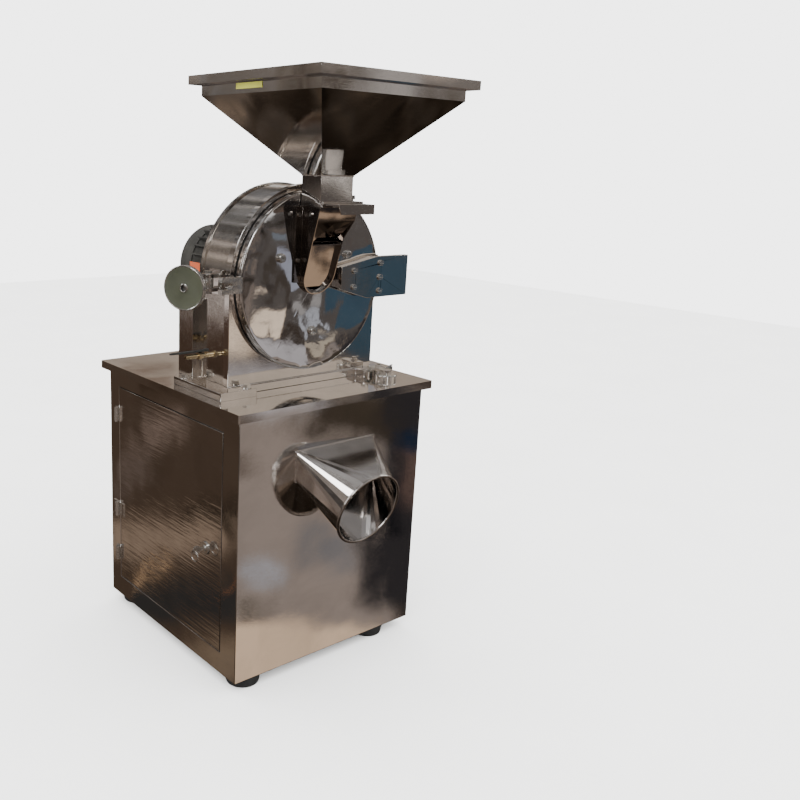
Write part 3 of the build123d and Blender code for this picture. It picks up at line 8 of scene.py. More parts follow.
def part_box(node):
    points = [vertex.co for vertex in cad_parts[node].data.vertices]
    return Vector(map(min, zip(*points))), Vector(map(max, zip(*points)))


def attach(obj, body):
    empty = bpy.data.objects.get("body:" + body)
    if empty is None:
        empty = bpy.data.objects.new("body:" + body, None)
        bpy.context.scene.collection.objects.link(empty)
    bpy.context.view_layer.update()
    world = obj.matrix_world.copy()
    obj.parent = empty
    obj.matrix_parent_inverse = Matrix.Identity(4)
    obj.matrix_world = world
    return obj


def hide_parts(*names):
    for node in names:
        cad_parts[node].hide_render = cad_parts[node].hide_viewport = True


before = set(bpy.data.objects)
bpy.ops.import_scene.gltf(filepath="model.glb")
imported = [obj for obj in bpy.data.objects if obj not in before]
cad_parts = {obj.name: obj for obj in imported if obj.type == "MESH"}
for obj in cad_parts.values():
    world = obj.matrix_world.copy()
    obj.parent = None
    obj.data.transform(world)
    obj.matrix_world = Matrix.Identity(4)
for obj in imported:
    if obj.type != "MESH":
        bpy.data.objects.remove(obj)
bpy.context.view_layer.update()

# The hammer mill's looks, built round the CAD frame. Lengths are in metres.
MM = 0.001
TURN = 2 * math.pi
UP = Vector((0, 0, 1))


# ---- Small helpers ---------------------------------------------------------------------
def centre_of(node):
    low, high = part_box(node)
    return (low + high) / 2


def new_object(name, bm, materials, smooth=True):
    """Object made from a bmesh, with one slot for each material."""
    mesh = bpy.data.meshes.new(name)
    bmesh.ops.recalc_face_normals(bm, faces=bm.faces)
    bm.to_mesh(mesh)
    bm.free()
    obj = bpy.data.objects.new(name, mesh)
    bpy.context.scene.collection.objects.link(obj)
    for material in materials:
        mesh.materials.append(material)
    for poly in mesh.polygons:
        poly.use_smooth = smooth
    return obj


def frame_from(direction):
    """Rotation whose local Z runs along a direction."""
    z = Vector(direction).normalized()
    x = UP.cross(z)
    if x.length < 1e-6:
        x = Vector((1, 0, 0))
    x.normalize()
    y = z.cross(x)
    return Matrix((x, y, z)).transposed().to_4x4()


def circle(radius, count, height=0.0):
    """Points of a circle round Z."""
    angles = [TURN * i / count for i in range(count)]
    return [Vector((radius * math.cos(a), radius * math.sin(a), height)) for a in angles]


def bridge(bm, ring, following, slot=0):
    """Quads from one ring of vertices to the next."""
    count = len(ring)
    for i in range(count):
        j = (i + 1) % count
        face = bm.faces.new((ring[i], ring[j], following[j], following[i]))
        face.material_index = slot


# ---- Materials -------------------------------------------------------------------------
class NodeTree:
    """Short hand for adding and linking shader nodes in self.tree."""

    def add(self, kind, **values):
        node = self.tree.nodes.new(kind)
        for key, value in values.items():
            setattr(node, key, value)
        return node

    def link(self, a, b):
        self.tree.links.new(a, b)

    def ramp(self, value, stops):
        node = self.add("ShaderNodeValToRGB")
        elements = node.color_ramp.elements
        while len(elements) < len(stops):
            elements.new(0.5)
        for element, (place, colour) in zip(elements, stops):
            element.position = place
            element.color = (*colour, 1.0)
        self.link(value, node.inputs["Fac"])
        return node.outputs["Color"]


class Surface(NodeTree):
    """A new material; its textures lie in object coordinates."""

    def __init__(self, name):
        self.material = bpy.data.materials.new(name)
        self.material.use_nodes = True
        self.tree = self.material.node_tree
        self.shader = self.tree.nodes["Principled BSDF"]
        self.place = self.add("ShaderNodeTexCoord").outputs["Object"]

    def stretched(self, scale):
        mapping = self.add("ShaderNodeMapping")
        mapping.inputs["Scale"].default_value = scale
        self.link(self.place, mapping.inputs["Vector"])
        return mapping.outputs["Vector"]

    def noise(self, scale, detail=4.0, stretch=(1, 1, 1), rough=0.55, distortion=0.0):
        node = self.add("ShaderNodeTexNoise")
        node.inputs["Scale"].default_value = scale
        node.inputs["Detail"].default_value = detail
        node.inputs["Roughness"].default_value = rough
        node.inputs["Distortion"].default_value = distortion
        self.link(self.stretched(stretch), node.inputs["Vector"])
        return node.outputs["Fac"]

    def span(self, value, low, high, out_low, out_high):
        node = self.add("ShaderNodeMapRange")
        node.inputs["From Min"].default_value = low
        node.inputs["From Max"].default_value = high
        node.inputs["To Min"].default_value = out_low
        node.inputs["To Max"].default_value = out_high
        self.link(value, node.inputs["Value"])
        return node.outputs["Result"]

    def bump(self, layers):
        """Chain of bumps, each a value with its strength and its depth in metres."""
        normal = None
        for value, strength, depth in layers:
            node = self.add("ShaderNodeBump")
            node.inputs["Strength"].default_value = strength
            node.inputs["Distance"].default_value = depth
            self.link(value, node.inputs["Height"])
            if normal is not None:
                self.link(normal, node.inputs["Normal"])
            normal = node.outputs["Normal"]
        self.link(normal, self.shader.inputs["Normal"])


def polished(name, tint, rough=0.06, wave=0.0010, wave_scale=5.0, grain=(1, 1, 60),
             grain_depth=0.00002, grain_scale=90.0, smudge=0.10):
    """Polished stainless sheet: slow waves in the sheet, a faint polishing grain, smudges."""
    t = Surface(name)
    t.shader.inputs["Metallic"].default_value = 1.0
    dark = tuple(c * 0.86 for c in tint)
    stain = t.noise(7.0, 6.0, distortion=0.6)
    t.link(t.ramp(stain, [(0.30, dark), (0.62, tint)]), t.shader.inputs["Base Color"])
    wipe = t.noise(22.0, 8.0, stretch=(1, 1, 2.5), rough=0.7)
    t.link(t.span(wipe, 0.35, 0.75, rough, rough + smudge), t.shader.inputs["Roughness"])
    slow = t.noise(wave_scale, 1.5)
    fine = t.noise(grain_scale, 3.0, stretch=grain)
    t.bump([(slow, 1.0, wave), (fine, 0.5, grain_depth)])
    return t.material


def painted(name, tint, rough=0.45, mottle=0.8, depth=0.0002, scale=220.0, metallic=0.0):
    """Paint, rubber or plastic with a slight texture and a little dirt."""
    t = Surface(name)
    t.shader.inputs["Metallic"].default_value = metallic
    dark = tuple(c * mottle for c in tint)
    dirt = t.ramp(t.noise(18.0, 6.0), [(0.32, dark), (0.66, tint)])
    t.link(dirt, t.shader.inputs["Base Color"])
    dull = t.span(t.noise(60.0, 5.0), 0.3, 0.7, rough, rough + 0.15)
    t.link(dull, t.shader.inputs["Roughness"])
    t.bump([(t.noise(scale, 3.0), 0.4, depth)])
    return t.material


SHEET = polished("sheet_polished", (0.84, 0.81, 0.78), rough=0.015, wave=0.0018,
                 wave_scale=5.0, smudge=0.035)
DOOR_SHEET = polished("door_sheet_with_film", (0.80, 0.77, 0.74), rough=0.035, wave=0.0016,
                      wave_scale=5.0, grain=(1, 0.8, 20), grain_depth=0.00030,
                      grain_scale=9.0, smudge=0.08)
# The feed chute's steel is given about half the brightness of the other sheets to make it look
# darker: painted shade.
CHUTE_SHADED = polished("chute_sheet_shaded", (0.46, 0.42, 0.39), rough=0.03, wave=0.0016,
                 wave_scale=9.0, smudge=0.06)
SPOUT = polished("spout_sheet", (0.84, 0.80, 0.77), rough=0.09, wave=0.0008,
                 wave_scale=8.0, grain=(14, 1, 1), grain_depth=0.00012,
                 grain_scale=22.0, smudge=0.08)
TABLE = polished("table_sheet", (0.84, 0.81, 0.78), rough=0.04, wave=0.0012,
                 wave_scale=6.0, smudge=0.08)
DISC = polished("disc_buffed", (0.88, 0.87, 0.86), rough=0.02, wave=0.0060,
                wave_scale=5.5, grain=(1, 1, 1), grain_depth=0.00030,
                grain_scale=22.0, smudge=0.06)
WRAP = polished("chamber_sheet", (0.80, 0.77, 0.73), rough=0.035, wave=0.0010,
                wave_scale=8.0, grain=(1, 28, 1), grain_depth=0.00008, smudge=0.07)
CONE = polished("hopper_sheet", (0.82, 0.79, 0.76), rough=0.025, wave=0.0014,
                wave_scale=6.0, smudge=0.06)
ZINC = polished("bolt_steel", (0.88, 0.87, 0.84), rough=0.10, wave=0.0003,
                wave_scale=70.0, smudge=0.1)
MACHINED = polished("machined_steel", (0.62, 0.61, 0.60), rough=0.24, wave=0.0002,
                    wave_scale=40.0, grain=(1, 60, 1), smudge=0.12)
BRASS = polished("brass_body", (0.74, 0.60, 0.38), rough=0.14, wave=0.0002, wave_scale=60.0)
# Dark olive colour for the handwheel's face, standing in for what a steel face reflects:
# painted reflection.
OLIVE_FACE_REFLECTION = painted("wheel_face_painted_reflection", (0.026, 0.028, 0.014), rough=0.42, mottle=0.70,
                depth=0.00012)
RUBBER = painted("black_rubber", (0.010, 0.010, 0.010), rough=0.62, mottle=0.6)
BLACK = painted("black_plastic", (0.008, 0.008, 0.007), rough=0.38, mottle=0.7)
MOTOR = painted("motor_silver_paint", (0.060, 0.058, 0.052), rough=0.30, mottle=0.60,
                scale=320.0, metallic=0.6)
COPPER = painted("varnished_windings", (0.20, 0.08, 0.03), rough=0.35, mottle=0.6)
DARK_STEEL = painted("dark_steel_frame", (0.04, 0.04, 0.04), rough=0.5, mottle=0.7,
                     metallic=0.4)
ORANGE = painted("motor_label", (0.30, 0.045, 0.003), rough=0.5, mottle=0.85)
LIME = painted("hopper_label", (0.26, 0.25, 0.02), rough=0.5, mottle=0.8)

LOOKS = [
    (SHEET, "cabinet_shell floor_panel chamber_flange hopper_neck gate_frame feed_gate"
            " hinge_arm hinge_spacer discharge_funnel hinge_bracket clamp_bracket"),
    (DOOR_SHEET, "cabinet_door"),
    (TABLE, "tabletop chamber_base"),
    (WRAP, "chamber_wrapper chamber_back_plate motor_stand"),
    (DISC, "door_disc"),
    (CONE, "hopper"),
    (CHUTE_SHADED, "feed_chute"),
    (SPOUT, "discharge_spout"),
    (ZINC, "door_lug hold_down_clamp base_bolts foot_bolts stator_bolts door_screws"
           " door_hinge_fixed_leaves door_hinge_moving_leaves door_hinge_pins lock_body"
           " lock_cam gate_lock_screw pivot_pins clamp_washer rotor_fasteners swing_bolt"
           " handwheel"),
    (MACHINED, "stator_ring rotor_hub hammer_1 hammer_2 hammer_3 hammer_4 motor_shaft"
               " motor_bearings screen_ring"),
    (DARK_STEEL, "cabinet_frame"),
    (RUBBER, "rubber_feet door_gasket shaft_seal"),
    (BRASS, "water_valve"),
    (BLACK, "valve_lever motor_fan"),
    (MOTOR, "motor_frame motor_endshields fan_cowl terminal_box"),
    (COPPER, "motor_stator"),
]


# ---- CAD nodes: materials, smooth shading and small edge radii -------------------------
MERGE_DISTANCE = 0.00001
SHARP_ANGLE = math.radians(28)
EDGE_ANGLE = math.radians(50)
EDGE_SEGMENTS = 2
EDGE_MM = {
    "cabinet_shell": 1.2, "tabletop": 1.2, "chamber_flange": 1.0, "chamber_base": 1.0,
    "door_disc": 0.8, "hinge_arm": 1.0, "hinge_spacer": 0.8, "hopper": 0.9,
    "hopper_neck": 0.7, "gate_frame": 0.6, "feed_gate": 0.6, "feed_chute": 0.6,
    "cabinet_door": 0.8, "chamber_wrapper": 0.7, "motor_stand": 0.8,
    "hold_down_clamp": 0.5, "door_lug": 0.8, "clamp_bracket": 0.6, "hinge_bracket": 0.6,
}


def smoothing_group():
    """Geometry nodes that join the facets and shade them smooth except at sharp edges."""
    group = bpy.data.node_groups.new("smooth_by_angle", "GeometryNodeTree")
    group.interface.new_socket("Geometry", in_out="INPUT", socket_type="NodeSocketGeometry")
    group.interface.new_socket("Geometry", in_out="OUTPUT", socket_type="NodeSocketGeometry")
    start = group.nodes.new("NodeGroupInput")
    end = group.nodes.new("NodeGroupOutput")
    merge = group.nodes.new("GeometryNodeMergeByDistance")
    merge.inputs["Distance"].default_value = MERGE_DISTANCE
    faces = group.nodes.new("GeometryNodeSetShadeSmooth")
    faces.domain = "FACE"
    edges = group.nodes.new("GeometryNodeSetShadeSmooth")
    edges.domain = "EDGE"
    angle = group.nodes.new("GeometryNodeInputMeshEdgeAngle")
    compare = group.nodes.new("FunctionNodeCompare")
    compare.data_type = "FLOAT"
    compare.operation = "LESS_EQUAL"
    compare.inputs[1].default_value = SHARP_ANGLE
    link = group.links.new
    link(start.outputs[0], merge.inputs["Geometry"])
    link(merge.outputs["Geometry"], faces.inputs["Geometry"])
    link(faces.outputs["Geometry"], edges.inputs["Geometry"])
    link(angle.outputs["Unsigned Angle"], compare.inputs[0])
    link(compare.outputs["Result"], edges.inputs["Shade Smooth"])
    link(edges.outputs["Geometry"], end.inputs[0])
    return group


def dress(node, material, smoothing):
    """Give a CAD node its material, smooth shading and, where listed, small edge radii."""
    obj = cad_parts[node]
    obj.data.materials.clear()
    obj.data.materials.append(material)
    obj.modifiers.new("smooth", "NODES").node_group = smoothing
    if node in EDGE_MM:
        edge = obj.modifiers.new("edge", "BEVEL")
        edge.width = EDGE_MM[node] * MM
        edge.segments = EDGE_SEGMENTS
        edge.limit_method = "ANGLE"
        edge.angle_limit = EDGE_ANGLE
        edge.use_clamp_overlap = True


def dress_all():
    smoothing = smoothing_group()
    for material, nodes in LOOKS:
        for node in nodes.split():
            dress(node, material, smoothing)


dress_all()


# ---- Camera ----------------------------------------------------------------------------
EYE = Vector((-1.2463, -1.6206, 1.1039))
AZIMUTH = math.radians(-38.1504)
ELEVATION = math.radians(13.3821)
ROLL = math.radians(1.6804)
SENSOR = 36.0
LENS = 39.815
SHIFT = (0.1610, -0.0333)


def heading(azimuth, elevation):
    """Unit vector; azimuth 0 is -Y and a quarter turn is +X."""
    level = math.cos(elevation)
    return Vector((math.sin(azimuth) * level, -math.cos(azimuth) * level, math.sin(elevation)))


def make_camera():
    """Camera fitted to the photograph's straight edges and circles."""
    back = heading(AZIMUTH, ELEVATION)
    right = UP.cross(back).normalized()
    up = back.cross(right)
    right_rolled = right * math.cos(ROLL) + up * math.sin(ROLL)
    up_rolled = up * math.cos(ROLL) - right * math.sin(ROLL)
    data = bpy.data.cameras.new("camera")
    data.sensor_width = SENSOR
    data.lens = LENS
    data.shift_x, data.shift_y = SHIFT
    camera = bpy.data.objects.new("camera", data)
    turn = Matrix((right_rolled, up_rolled, back)).transposed().to_4x4()
    camera.matrix_world = Matrix.Translation(EYE) @ turn
    bpy.context.scene.collection.objects.link(camera)
    bpy.context.scene.camera = camera


make_camera()


# ---- Surroundings ----------------------------------------------------------------------
class Sky(NodeTree):
    """World colours, by the direction from the machine."""

    def __init__(self):
        self.world = bpy.data.worlds.new("studio")
        bpy.context.scene.world = self.world
        self.world.use_nodes = True
        self.tree = self.world.node_tree
        self.tree.nodes.clear()
        self.way = self.add("ShaderNodeTexCoord").outputs["Generated"]
        self.ragged = self.noise(9.0, detail=5.0, distortion=0.8)

    def noise(self, scale, stretch=(1, 1, 1), detail=4.0, distortion=0.0):
        mapping = self.add("ShaderNodeMapping")
        mapping.inputs["Scale"].default_value = stretch
        node = self.add("ShaderNodeTexNoise")
        node.inputs["Scale"].default_value = scale
        node.inputs["Detail"].default_value = detail
        node.inputs["Distortion"].default_value = distortion
        self.link(self.way, mapping.inputs["Vector"])
        self.link(mapping.outputs["Vector"], node.inputs["Vector"])
        return node.outputs["Fac"]

    def math(self, operation, a, b=0.0):
        node = self.add("ShaderNodeMath", operation=operation)
        for socket, value in zip(node.inputs, (a, b)):
            if isinstance(value, (int, float)):
                socket.default_value = value
            else:
                self.link(value, socket)
        return node.outputs[0]

    def mix(self, factor, a, b):
        node = self.add("ShaderNodeMix", data_type="RGBA")
        self.link(factor, node.inputs["Factor"])
        for socket, value in ((node.inputs["A"], a), (node.inputs["B"], b)):
            if isinstance(value, tuple):
                socket.default_value = (*value, 1.0)
            else:
                self.link(value, socket)
        return node.outputs["Result"]

    def along(self, axis):
        """How far the direction looked in goes along an axis."""
        dot = self.add("ShaderNodeVectorMath", operation="DOT_PRODUCT")
        self.link(self.way, dot.inputs[0])
        dot.inputs[1].default_value = axis
        return dot.outputs["Value"]

    def patch(self, below, azimuth, elevation, width, height, colour, soft):
        """Paint a soft, ragged rectangle round a direction; all angles in degrees."""
        turn = math.radians(azimuth)
        centre = heading(turn, math.radians(elevation))
        side = Vector((math.cos(turn), math.sin(turn), 0.0))
        up = centre.cross(side) * -1.0
        factor = None
        for axis, size in ((side, width), (up, height)):
            distance = self.math("ABSOLUTE", self.along(axis))
            uneven = self.math("SUBTRACT", self.ragged, 0.5)
            wobble = self.math("MULTIPLY", uneven, RAGGED * math.radians(size))
            distance = self.math("ADD", distance, wobble)
            span = self.add("ShaderNodeMapRange", interpolation_type="SMOOTHSTEP")
            half = math.sin(math.radians(size / 2))
            span.inputs["From Min"].default_value = half
            span.inputs["From Max"].default_value = half * (1 - soft)
            self.link(distance, span.inputs["Value"])
            result = span.outputs["Result"]
            factor = result if factor is None else self.math("MULTIPLY", factor, result)
        ahead = self.math("GREATER_THAN", self.along(centre), 0.0)
        return self.mix(self.math("MULTIPLY", factor, ahead), below, colour)


PALE = 0.93
PALE_STRENGTH = 4.5
RAGGED = 0.25
# The patches were laid out to resemble what the photograph's panels reflect. Its colours were
# sampled at 151 points on the panels, with the direction each point mirrors, and many rows
# follow those samples in direction and colour.
PATCHES = [
    # azimuth, elevation, width, height (degrees), colour, softness
    # what the front panel sees
    (40.5, -22, 13, 17, (0.290, 0.240, 0.212), 0.10),
    (36.5, -13.5, 9, 5, (0.480, 0.450, 0.460), 0.10),
    (36.4, -19.5, 1.6, 1.8, (0.050, 0.035, 0.024), 0.4),
    (38.0, -26.0, 2.6, 1.6, (0.360, 0.360, 0.390), 0.5),
    (37.2, -28.3, 1.6, 2.2, (0.095, 0.080, 0.062), 0.5),
    (43.2, -20.5, 2.6, 5.0, (0.170, 0.120, 0.098), 0.5),
    (42.5, -24.5, 3.6, 3.0, (0.190, 0.180, 0.185), 0.5),
    (41.0, -31.2, 18, 4.2, (0.760, 0.560, 0.400), 0.08),
    (47.4, -20, 4.8, 17, (0.030, 0.027, 0.029), 0.10),
    (43.2, -16.0, 6, 3.0, (0.052, 0.040, 0.030), 0.12),
    (46.4, -21.5, 1.4, 4, (0.002, 0.003, 0.005), 0.4),
    (48.0, -17.2, 2.4, 2.2, (0.012, 0.022, 0.045), 0.4),
    (48.4, -19.6, 1.8, 4.0, (0.120, 0.078, 0.066), 0.2),
    # what the disc, the flange and the hinge arm see
    (41.0, -7.5, 16, 13, (0.090, 0.078, 0.072), 0.25),
    (35.5, -11.2, 3.4, 3.4, (0.900, 0.720, 0.560), 0.45),
    (36.6, -7.6, 2.6, 3.5, (0.060, 0.048, 0.040), 0.45),
    (38.8, -6.4, 2.4, 2.8, (0.300, 0.310, 0.370), 0.45),
    (38.2, -9.4, 3.2, 1.8, (0.045, 0.036, 0.032), 0.45),
    (40.7, -9.8, 1.8, 2.2, (0.330, 0.310, 0.300), 0.45),
    (45.6, -8.4, 5.2, 7.6, (0.044, 0.074, 0.102), 0.15),
    (43.6, -4.4, 3.4, 2.2, (0.100, 0.068, 0.055), 0.45),
    (38.5, -12.4, 4.0, 1.4, (0.050, 0.038, 0.030), 0.45),
    (40.8, -11.3, 1.6, 1.6, (0.420, 0.430, 0.470), 0.45),
    (42.4, -12.9, 5.0, 1.2, (0.440, 0.370, 0.290), 0.35),
    (38.0, -3.2, 5.0, 2.0, (0.150, 0.165, 0.190), 0.45),
    # what the side of the cabinet and of the chamber see
    (212, -22, 26, 22, (0.066, 0.045, 0.032), 0.20),
    (210.6, -17.2, 2.8, 2.6, (0.190, 0.140, 0.115), 0.5),
    (208.8, -19.8, 2.0, 3.0, (0.120, 0.090, 0.075), 0.5),
    (214.5, -22.6, 5.0, 1.6, (0.022, 0.016, 0.011), 0.4),
    (211.5, -24.0, 9.0, 2.4, (0.260, 0.190, 0.140), 0.3),
    (215.6, -26.8, 0.9, 1.2, (0.420, 0.170, 0.070), 0.4),
    (209.8, -26.4, 1.3, 1.2, (0.620, 0.400, 0.230), 0.2),
    (212.5, -27.8, 8.0, 2.8, (0.030, 0.028, 0.027), 0.15),
    (214, -31.4, 10, 2.2, (0.180, 0.130, 0.090), 0.35),
    (214, -11, 12, 6, (0.070, 0.044, 0.032), 0.20),
    (215.5, -8.0, 6, 2.0, (0.700, 0.620, 0.580), 0.4),
    (212, -13.6, 5, 2.0, (0.030, 0.018, 0.010), 0.35),
    # what the table top sees
    (142, 14, 34, 12, (0.400, 0.330, 0.270), 0.20),
    (144, 15.5, 5, 3, (1.100, 1.080, 1.050), 0.3),
    (150, 14.0, 4, 2.4, (0.240, 0.180, 0.140), 0.4),
    (139.5, 15, 3, 3, (0.140, 0.112, 0.098), 0.4),
    (136, 13.6, 3, 3, (0.290, 0.290, 0.310), 0.4),
    (40, 15, 34, 12, (0.620, 0.540, 0.460), 0.25),
    # window bands overhead and lamps
    (45.0, 5, 4.0, 6, (0.420, 0.390, 0.370), 0.3),
    (42.0, -0.6, 2.0, 2.4, (0.700, 0.650, 0.600), 0.3),
    (40.6, -1.0, 1.0, 3.0, (0.030, 0.026, 0.024), 0.3),
    (35.0, 5, 5.0, 10, (0.900, 0.880, 0.860), 0.3),
    (30, 52, 60, 5, (1.1, 1.1, 1.1), 0.4),
    (-60, 38, 22, 20, (7.0, 7.0, 7.0), 0.25),
    (100, 30, 12, 26, (6.0, 6.0, 5.8), 0.25),
    (-24, 14, 3, 18, (4.0, 4.0, 4.0), 0.25),
    (250, 20, 8, 26, (6.0, 6.0, 6.0), 0.25),
    (190, 14, 5, 12, (1.2, 1.2, 1.15), 0.4),
]


def make_world():
    """A painted workshop in the reflections, and an even pale grey for all other rays."""
    sky = Sky()
    split = sky.add("ShaderNodeSeparateXYZ")
    sky.link(sky.way, split.inputs[0])
    height = sky.math("MULTIPLY", sky.math("ADD", split.outputs["Z"], 1.0), 0.5)
    colour = sky.ramp(height, [
        (0.00, (0.022, 0.017, 0.013)), (0.18, (0.034, 0.025, 0.018)),
        (0.25, (0.120, 0.092, 0.072)), (0.34, (0.210, 0.170, 0.145)),
        (0.43, (0.095, 0.078, 0.068)), (0.49, (0.050, 0.042, 0.038)),
        (0.53, (0.130, 0.112, 0.098)), (0.61, (0.320, 0.275, 0.240)),
        (0.72, (0.130, 0.122, 0.118)), (1.00, (0.380, 0.375, 0.370)),
    ])
    cloud = sky.noise(7.0, stretch=(1, 1, 1.8), detail=5.0, distortion=1.6)
    shade = sky.ramp(cloud, [
        (0.34, (0.16, 0.17, 0.20)), (0.44, (0.50, 0.46, 0.42)), (0.50, (0.95, 0.92, 0.88)),
        (0.56, (1.20, 1.30, 1.45)), (0.62, (2.00, 1.90, 1.80)), (0.70, (3.60, 3.50, 3.40)),
    ])
    multiply = sky.add("ShaderNodeMix", data_type="RGBA", blend_type="MULTIPLY")
    multiply.inputs["Factor"].default_value = 1.0
    sky.link(colour, multiply.inputs["A"])
    sky.link(shade, multiply.inputs["B"])
    colour = multiply.outputs["Result"]
    for patch in PATCHES:
        colour = sky.patch(colour, *patch)
    rays = sky.add("ShaderNodeLightPath")
    room = sky.add("ShaderNodeBackground")
    sky.link(colour, room.inputs["Color"])
    room.inputs["Strength"].default_value = 1.0
    pale = sky.add("ShaderNodeBackground")
    pale.inputs["Color"].default_value = (PALE, PALE, PALE, 1.0)
    pale.inputs["Strength"].default_value = PALE_STRENGTH
    choose = sky.add("ShaderNodeMixShader")
    sky.link(rays.outputs["Is Glossy Ray"], choose.inputs["Fac"])
    sky.link(pale.outputs[0], choose.inputs[1])
    sky.link(room.outputs[0], choose.inputs[2])
    out = sky.add("ShaderNodeOutputWorld")
    sky.link(choose.outputs[0], out.inputs["Surface"])


make_world()


FLOOR_HALF = 6.0
FLOOR_CELLS = 8


def make_floor():
    bm = bmesh.new()
    bmesh.ops.create_grid(bm, x_segments=FLOOR_CELLS, y_segments=FLOOR_CELLS, size=FLOOR_HALF)
    t = Surface("floor")
    tone = t.ramp(t.noise(3.0, 3.0), [(0.3, (0.86, 0.86, 0.85)), (0.7, (0.89, 0.89, 0.88))])
    t.link(tone, t.shader.inputs["Base Color"])
    t.shader.inputs["Roughness"].default_value = 0.8
    floor = new_object("floor", bm, [t.material])
    floor.visible_glossy = False


make_floor()


def softbox(name, place, target, size, power):
    """Rectangular lamp that does not show in reflections."""
    data = bpy.data.lights.new(name, "AREA")
    data.shape = "RECTANGLE"
    data.size, data.size_y = size
    data.energy = power
    lamp = bpy.data.objects.new(name, data)
    direction = Vector(place) - Vector(target)
    lamp.matrix_world = Matrix.Translation(Vector(place)) @ frame_from(direction)
    lamp.visible_glossy = False
    bpy.context.scene.collection.objects.link(lamp)


softbox("key", (-2.2, -1.2, 2.6), (0, 0, 0.8), (1.2, 1.2), 45)
softbox("fill", (1.6, -2.6, 1.9), (0, 0, 0.7), (1.4, 0.9), 22)


# ---- Handwheel of the swing clamp ------------------------------------------------------
PIVOT = Vector((-0.228, -0.105, 0.860))
BOLT_TURN = math.radians(61)
ALONG_BOLT = Vector((-math.sin(BOLT_TURN), -math.cos(BOLT_TURN), 0))
WHEEL_SEGMENTS = 128
# Slots for the wheel: bright steel; the olive face, a painted reflection; black for the bore,
# painted shade.
WHEEL_MATERIALS = [ZINC, OLIVE_FACE_REFLECTION, BLACK]
FACE_RING, FACE_SLOT, BORE_SHADE_SLOT = 12, 1, 2
# radius and distance from the bolt's pivot, in mm, from the hub round the rim to the bore
WHEEL_PROFILE = [
    (6.08, 73.3), (13.2, 73.3), (14.0, 74.2), (14.0, 92.6), (15.0, 93.8), (42.6, 94.2),
    (44.2, 94.9), (45.0, 96.2), (45.0, 104.3), (44.4, 105.5), (43.3, 106.0), (42.4, 105.8),
    (41.8, 105.4), (9.0, 105.4), (8.4, 105.8), (8.2, 106.6), (7.6, 107.0), (6.7, 107.0),
    (6.08, 106.4),
]


def make_handwheel():
    """Flat wheel with a dark olive face colour that stands in for a reflection (painted
    reflection), a bright rim and a turned hub.
    """
    slots = [0] * len(WHEEL_PROFILE)
    slots[FACE_RING] = FACE_SLOT
    # The bore's inner wall takes the black plastic material: painted shade in the hole.
    slots[-1] = BORE_SHADE_SLOT
    bm = bmesh.new()
    rings = []
    for radius, height in WHEEL_PROFILE:
        points = circle(radius * MM, WHEEL_SEGMENTS, height * MM)
        rings.append([bm.verts.new(point) for point in points])
    for i, ring in enumerate(rings):
        bridge(bm, ring, rings[(i + 1) % len(rings)], slots[i])
    matrix = Matrix.Translation(PIVOT) @ frame_from(ALONG_BOLT)
    bmesh.ops.transform(bm, matrix=matrix, verts=bm.verts)
    wheel = new_object("handwheel_turned", bm, WHEEL_MATERIALS)
    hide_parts("handwheel")
    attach(wheel, "wheel")


make_handwheel()


# ---- Labels without lettering ----------------------------------------------------------
LABEL_GAP = 0.0004
LABEL_THICK = 0.0006
LABEL_STEPS = 12
SKIRT_HALF = 0.190
MOTOR_LABEL_X = -0.1085


def label_plate(name, x, y_span, z_span, material, body):
    """Thin plate that faces -X, a hair off the surface at x."""
    (y0, y1), (z0, z1) = y_span, z_span
    a, b, c, d = [Vector(p) for p in ((x, y0, z0), (x, y1, z0), (x, y1, z1), (x, y0, z1))]
    out = Vector((-1, 0, 0))
    bm = bmesh.new()
    sheets = []
    for lift in (LABEL_GAP, LABEL_GAP + LABEL_THICK):
        rows = []
        for i in range(LABEL_STEPS + 1):
            near, far = a.lerp(b, i / LABEL_STEPS), d.lerp(c, i / LABEL_STEPS)
            rows.append([bm.verts.new(near.lerp(far, k / 2) + out * lift) for k in range(3)])
        sheets.append(rows)
    for rows in sheets:
        for i in range(LABEL_STEPS):
            for k in range(2):
                bm.faces.new((rows[i][k], rows[i + 1][k], rows[i + 1][k + 1], rows[i][k + 1]))
    under, over = sheets
    for i in range(LABEL_STEPS):
        for k in (0, 2):
            bm.faces.new((under[i][k], under[i + 1][k], over[i + 1][k], over[i][k]))
    for i in (0, LABEL_STEPS):
        for k in range(2):
            bm.faces.new((under[i][k], under[i][k + 1], over[i][k + 1], over[i][k]))
    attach(new_object(name, bm, [material], smooth=False), body)


side = centre_of("hopper").x - SKIRT_HALF
label_plate("hopper_label_strip", side, (-0.223, -0.139), (1.2425, 1.2535), LIME,
            "grinding_door")
label_plate("motor_label_plate", MOTOR_LABEL_X, (0.108, 0.150), (0.848, 0.872), ORANGE,
            "cabinet")


# ---- Weld beads ------------------------------------------------------------------------
BEAD_SIDES = 10
BEAD_STEP = 0.002
BEAD_SWELL = 0.35
BEAD_GRAIN = 900


def line(a, b):
    """Evenly spaced points from one point to another."""
    count = max(2, int((b - a).length / BEAD_STEP))
    return [a.lerp(b, i / count) for i in range(count + 1)]


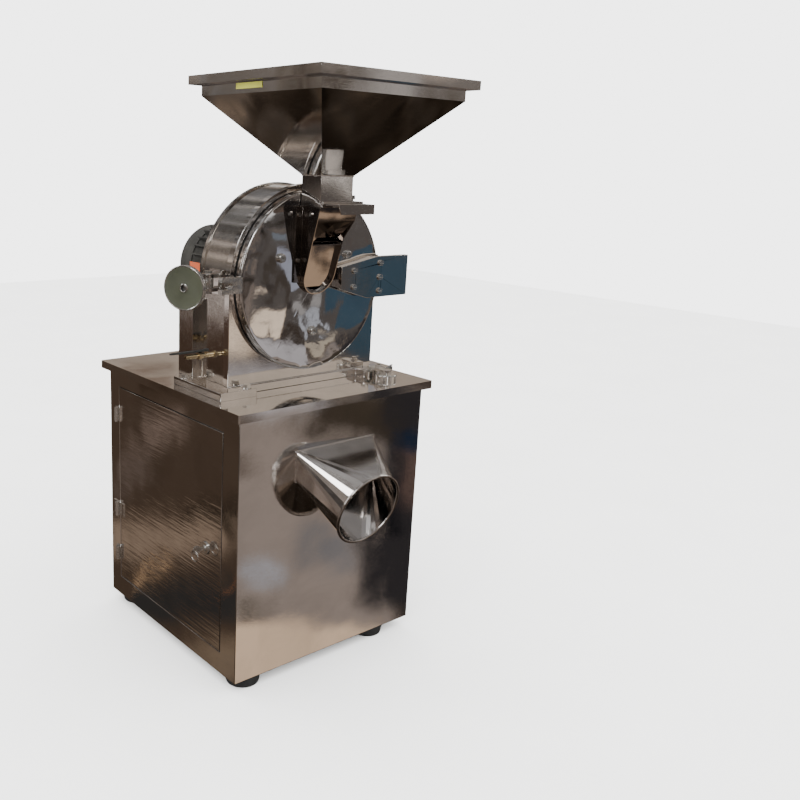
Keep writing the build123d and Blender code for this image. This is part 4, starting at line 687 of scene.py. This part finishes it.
def weld_bead(name, corners, radius, body, closed, seed):
    """Round bead that swells unevenly along a line of corners, as a weld does."""
    corners = [Vector(p) for p in corners]
    if closed:
        pts = []
        for i, corner in enumerate(corners):
            pts += line(corner, corners[(i + 1) % len(corners)])[:-1]
    else:
        pts = line(*corners)
    bm = bmesh.new()
    rings = []
    for i, p in enumerate(pts):
        before = pts[i - 1] if i > 0 or closed else pts[i]
        after = pts[(i + 1) % len(pts)] if i < len(pts) - 1 or closed else pts[i]
        turn = frame_from(after - before).to_3x3()
        wave = noise.noise(p * BEAD_GRAIN + Vector((seed, 0, 0)))
        size = radius * (1 + BEAD_SWELL * wave)
        rings.append([bm.verts.new(p + turn @ point) for point in circle(size, BEAD_SIDES)])
    for i in range(len(rings) if closed else len(rings) - 1):
        bridge(bm, rings[i], rings[(i + 1) % len(rings)])
    if not closed:
        bm.faces.new(list(reversed(rings[0])))
        bm.faces.new(rings[-1])
    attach(new_object(name, bm, [SPOUT]), body)


HOPPER_Y, NECK_X, NECK_Y, NECK_TOP = -0.205, 0.044, 0.0305, 1.081
NECK_FRONT, NECK_REAR = HOPPER_Y - NECK_Y, HOPPER_Y + NECK_Y
SPOUT_X, SPOUT_Y, SPOUT_LOW, SPOUT_HIGH = 0.113, -0.2705, 0.449, 0.518
FLANGE_X, FLANGE_Y, FLANGE_LOW = 0.204, -0.1503, 0.6424

weld_bead("neck_weld", [
    (NECK_X, NECK_REAR, NECK_TOP), (-NECK_X, NECK_REAR, NECK_TOP),
    (-NECK_X, NECK_FRONT, NECK_TOP), (NECK_X, NECK_FRONT, NECK_TOP),
], 0.0013, "grinding_door", closed=True, seed=0)
weld_bead("spout_weld", [
    (SPOUT_X, SPOUT_Y, SPOUT_HIGH), (-SPOUT_X, SPOUT_Y, SPOUT_HIGH),
    (-SPOUT_X, SPOUT_Y, SPOUT_LOW), (SPOUT_X, SPOUT_Y, SPOUT_LOW),
], 0.0016, "cabinet", closed=True, seed=3)
weld_bead("flange_weld", [
    (-FLANGE_X, FLANGE_Y, FLANGE_LOW), (FLANGE_X, FLANGE_Y, FLANGE_LOW),
], 0.0015, "cabinet", closed=False, seed=7)
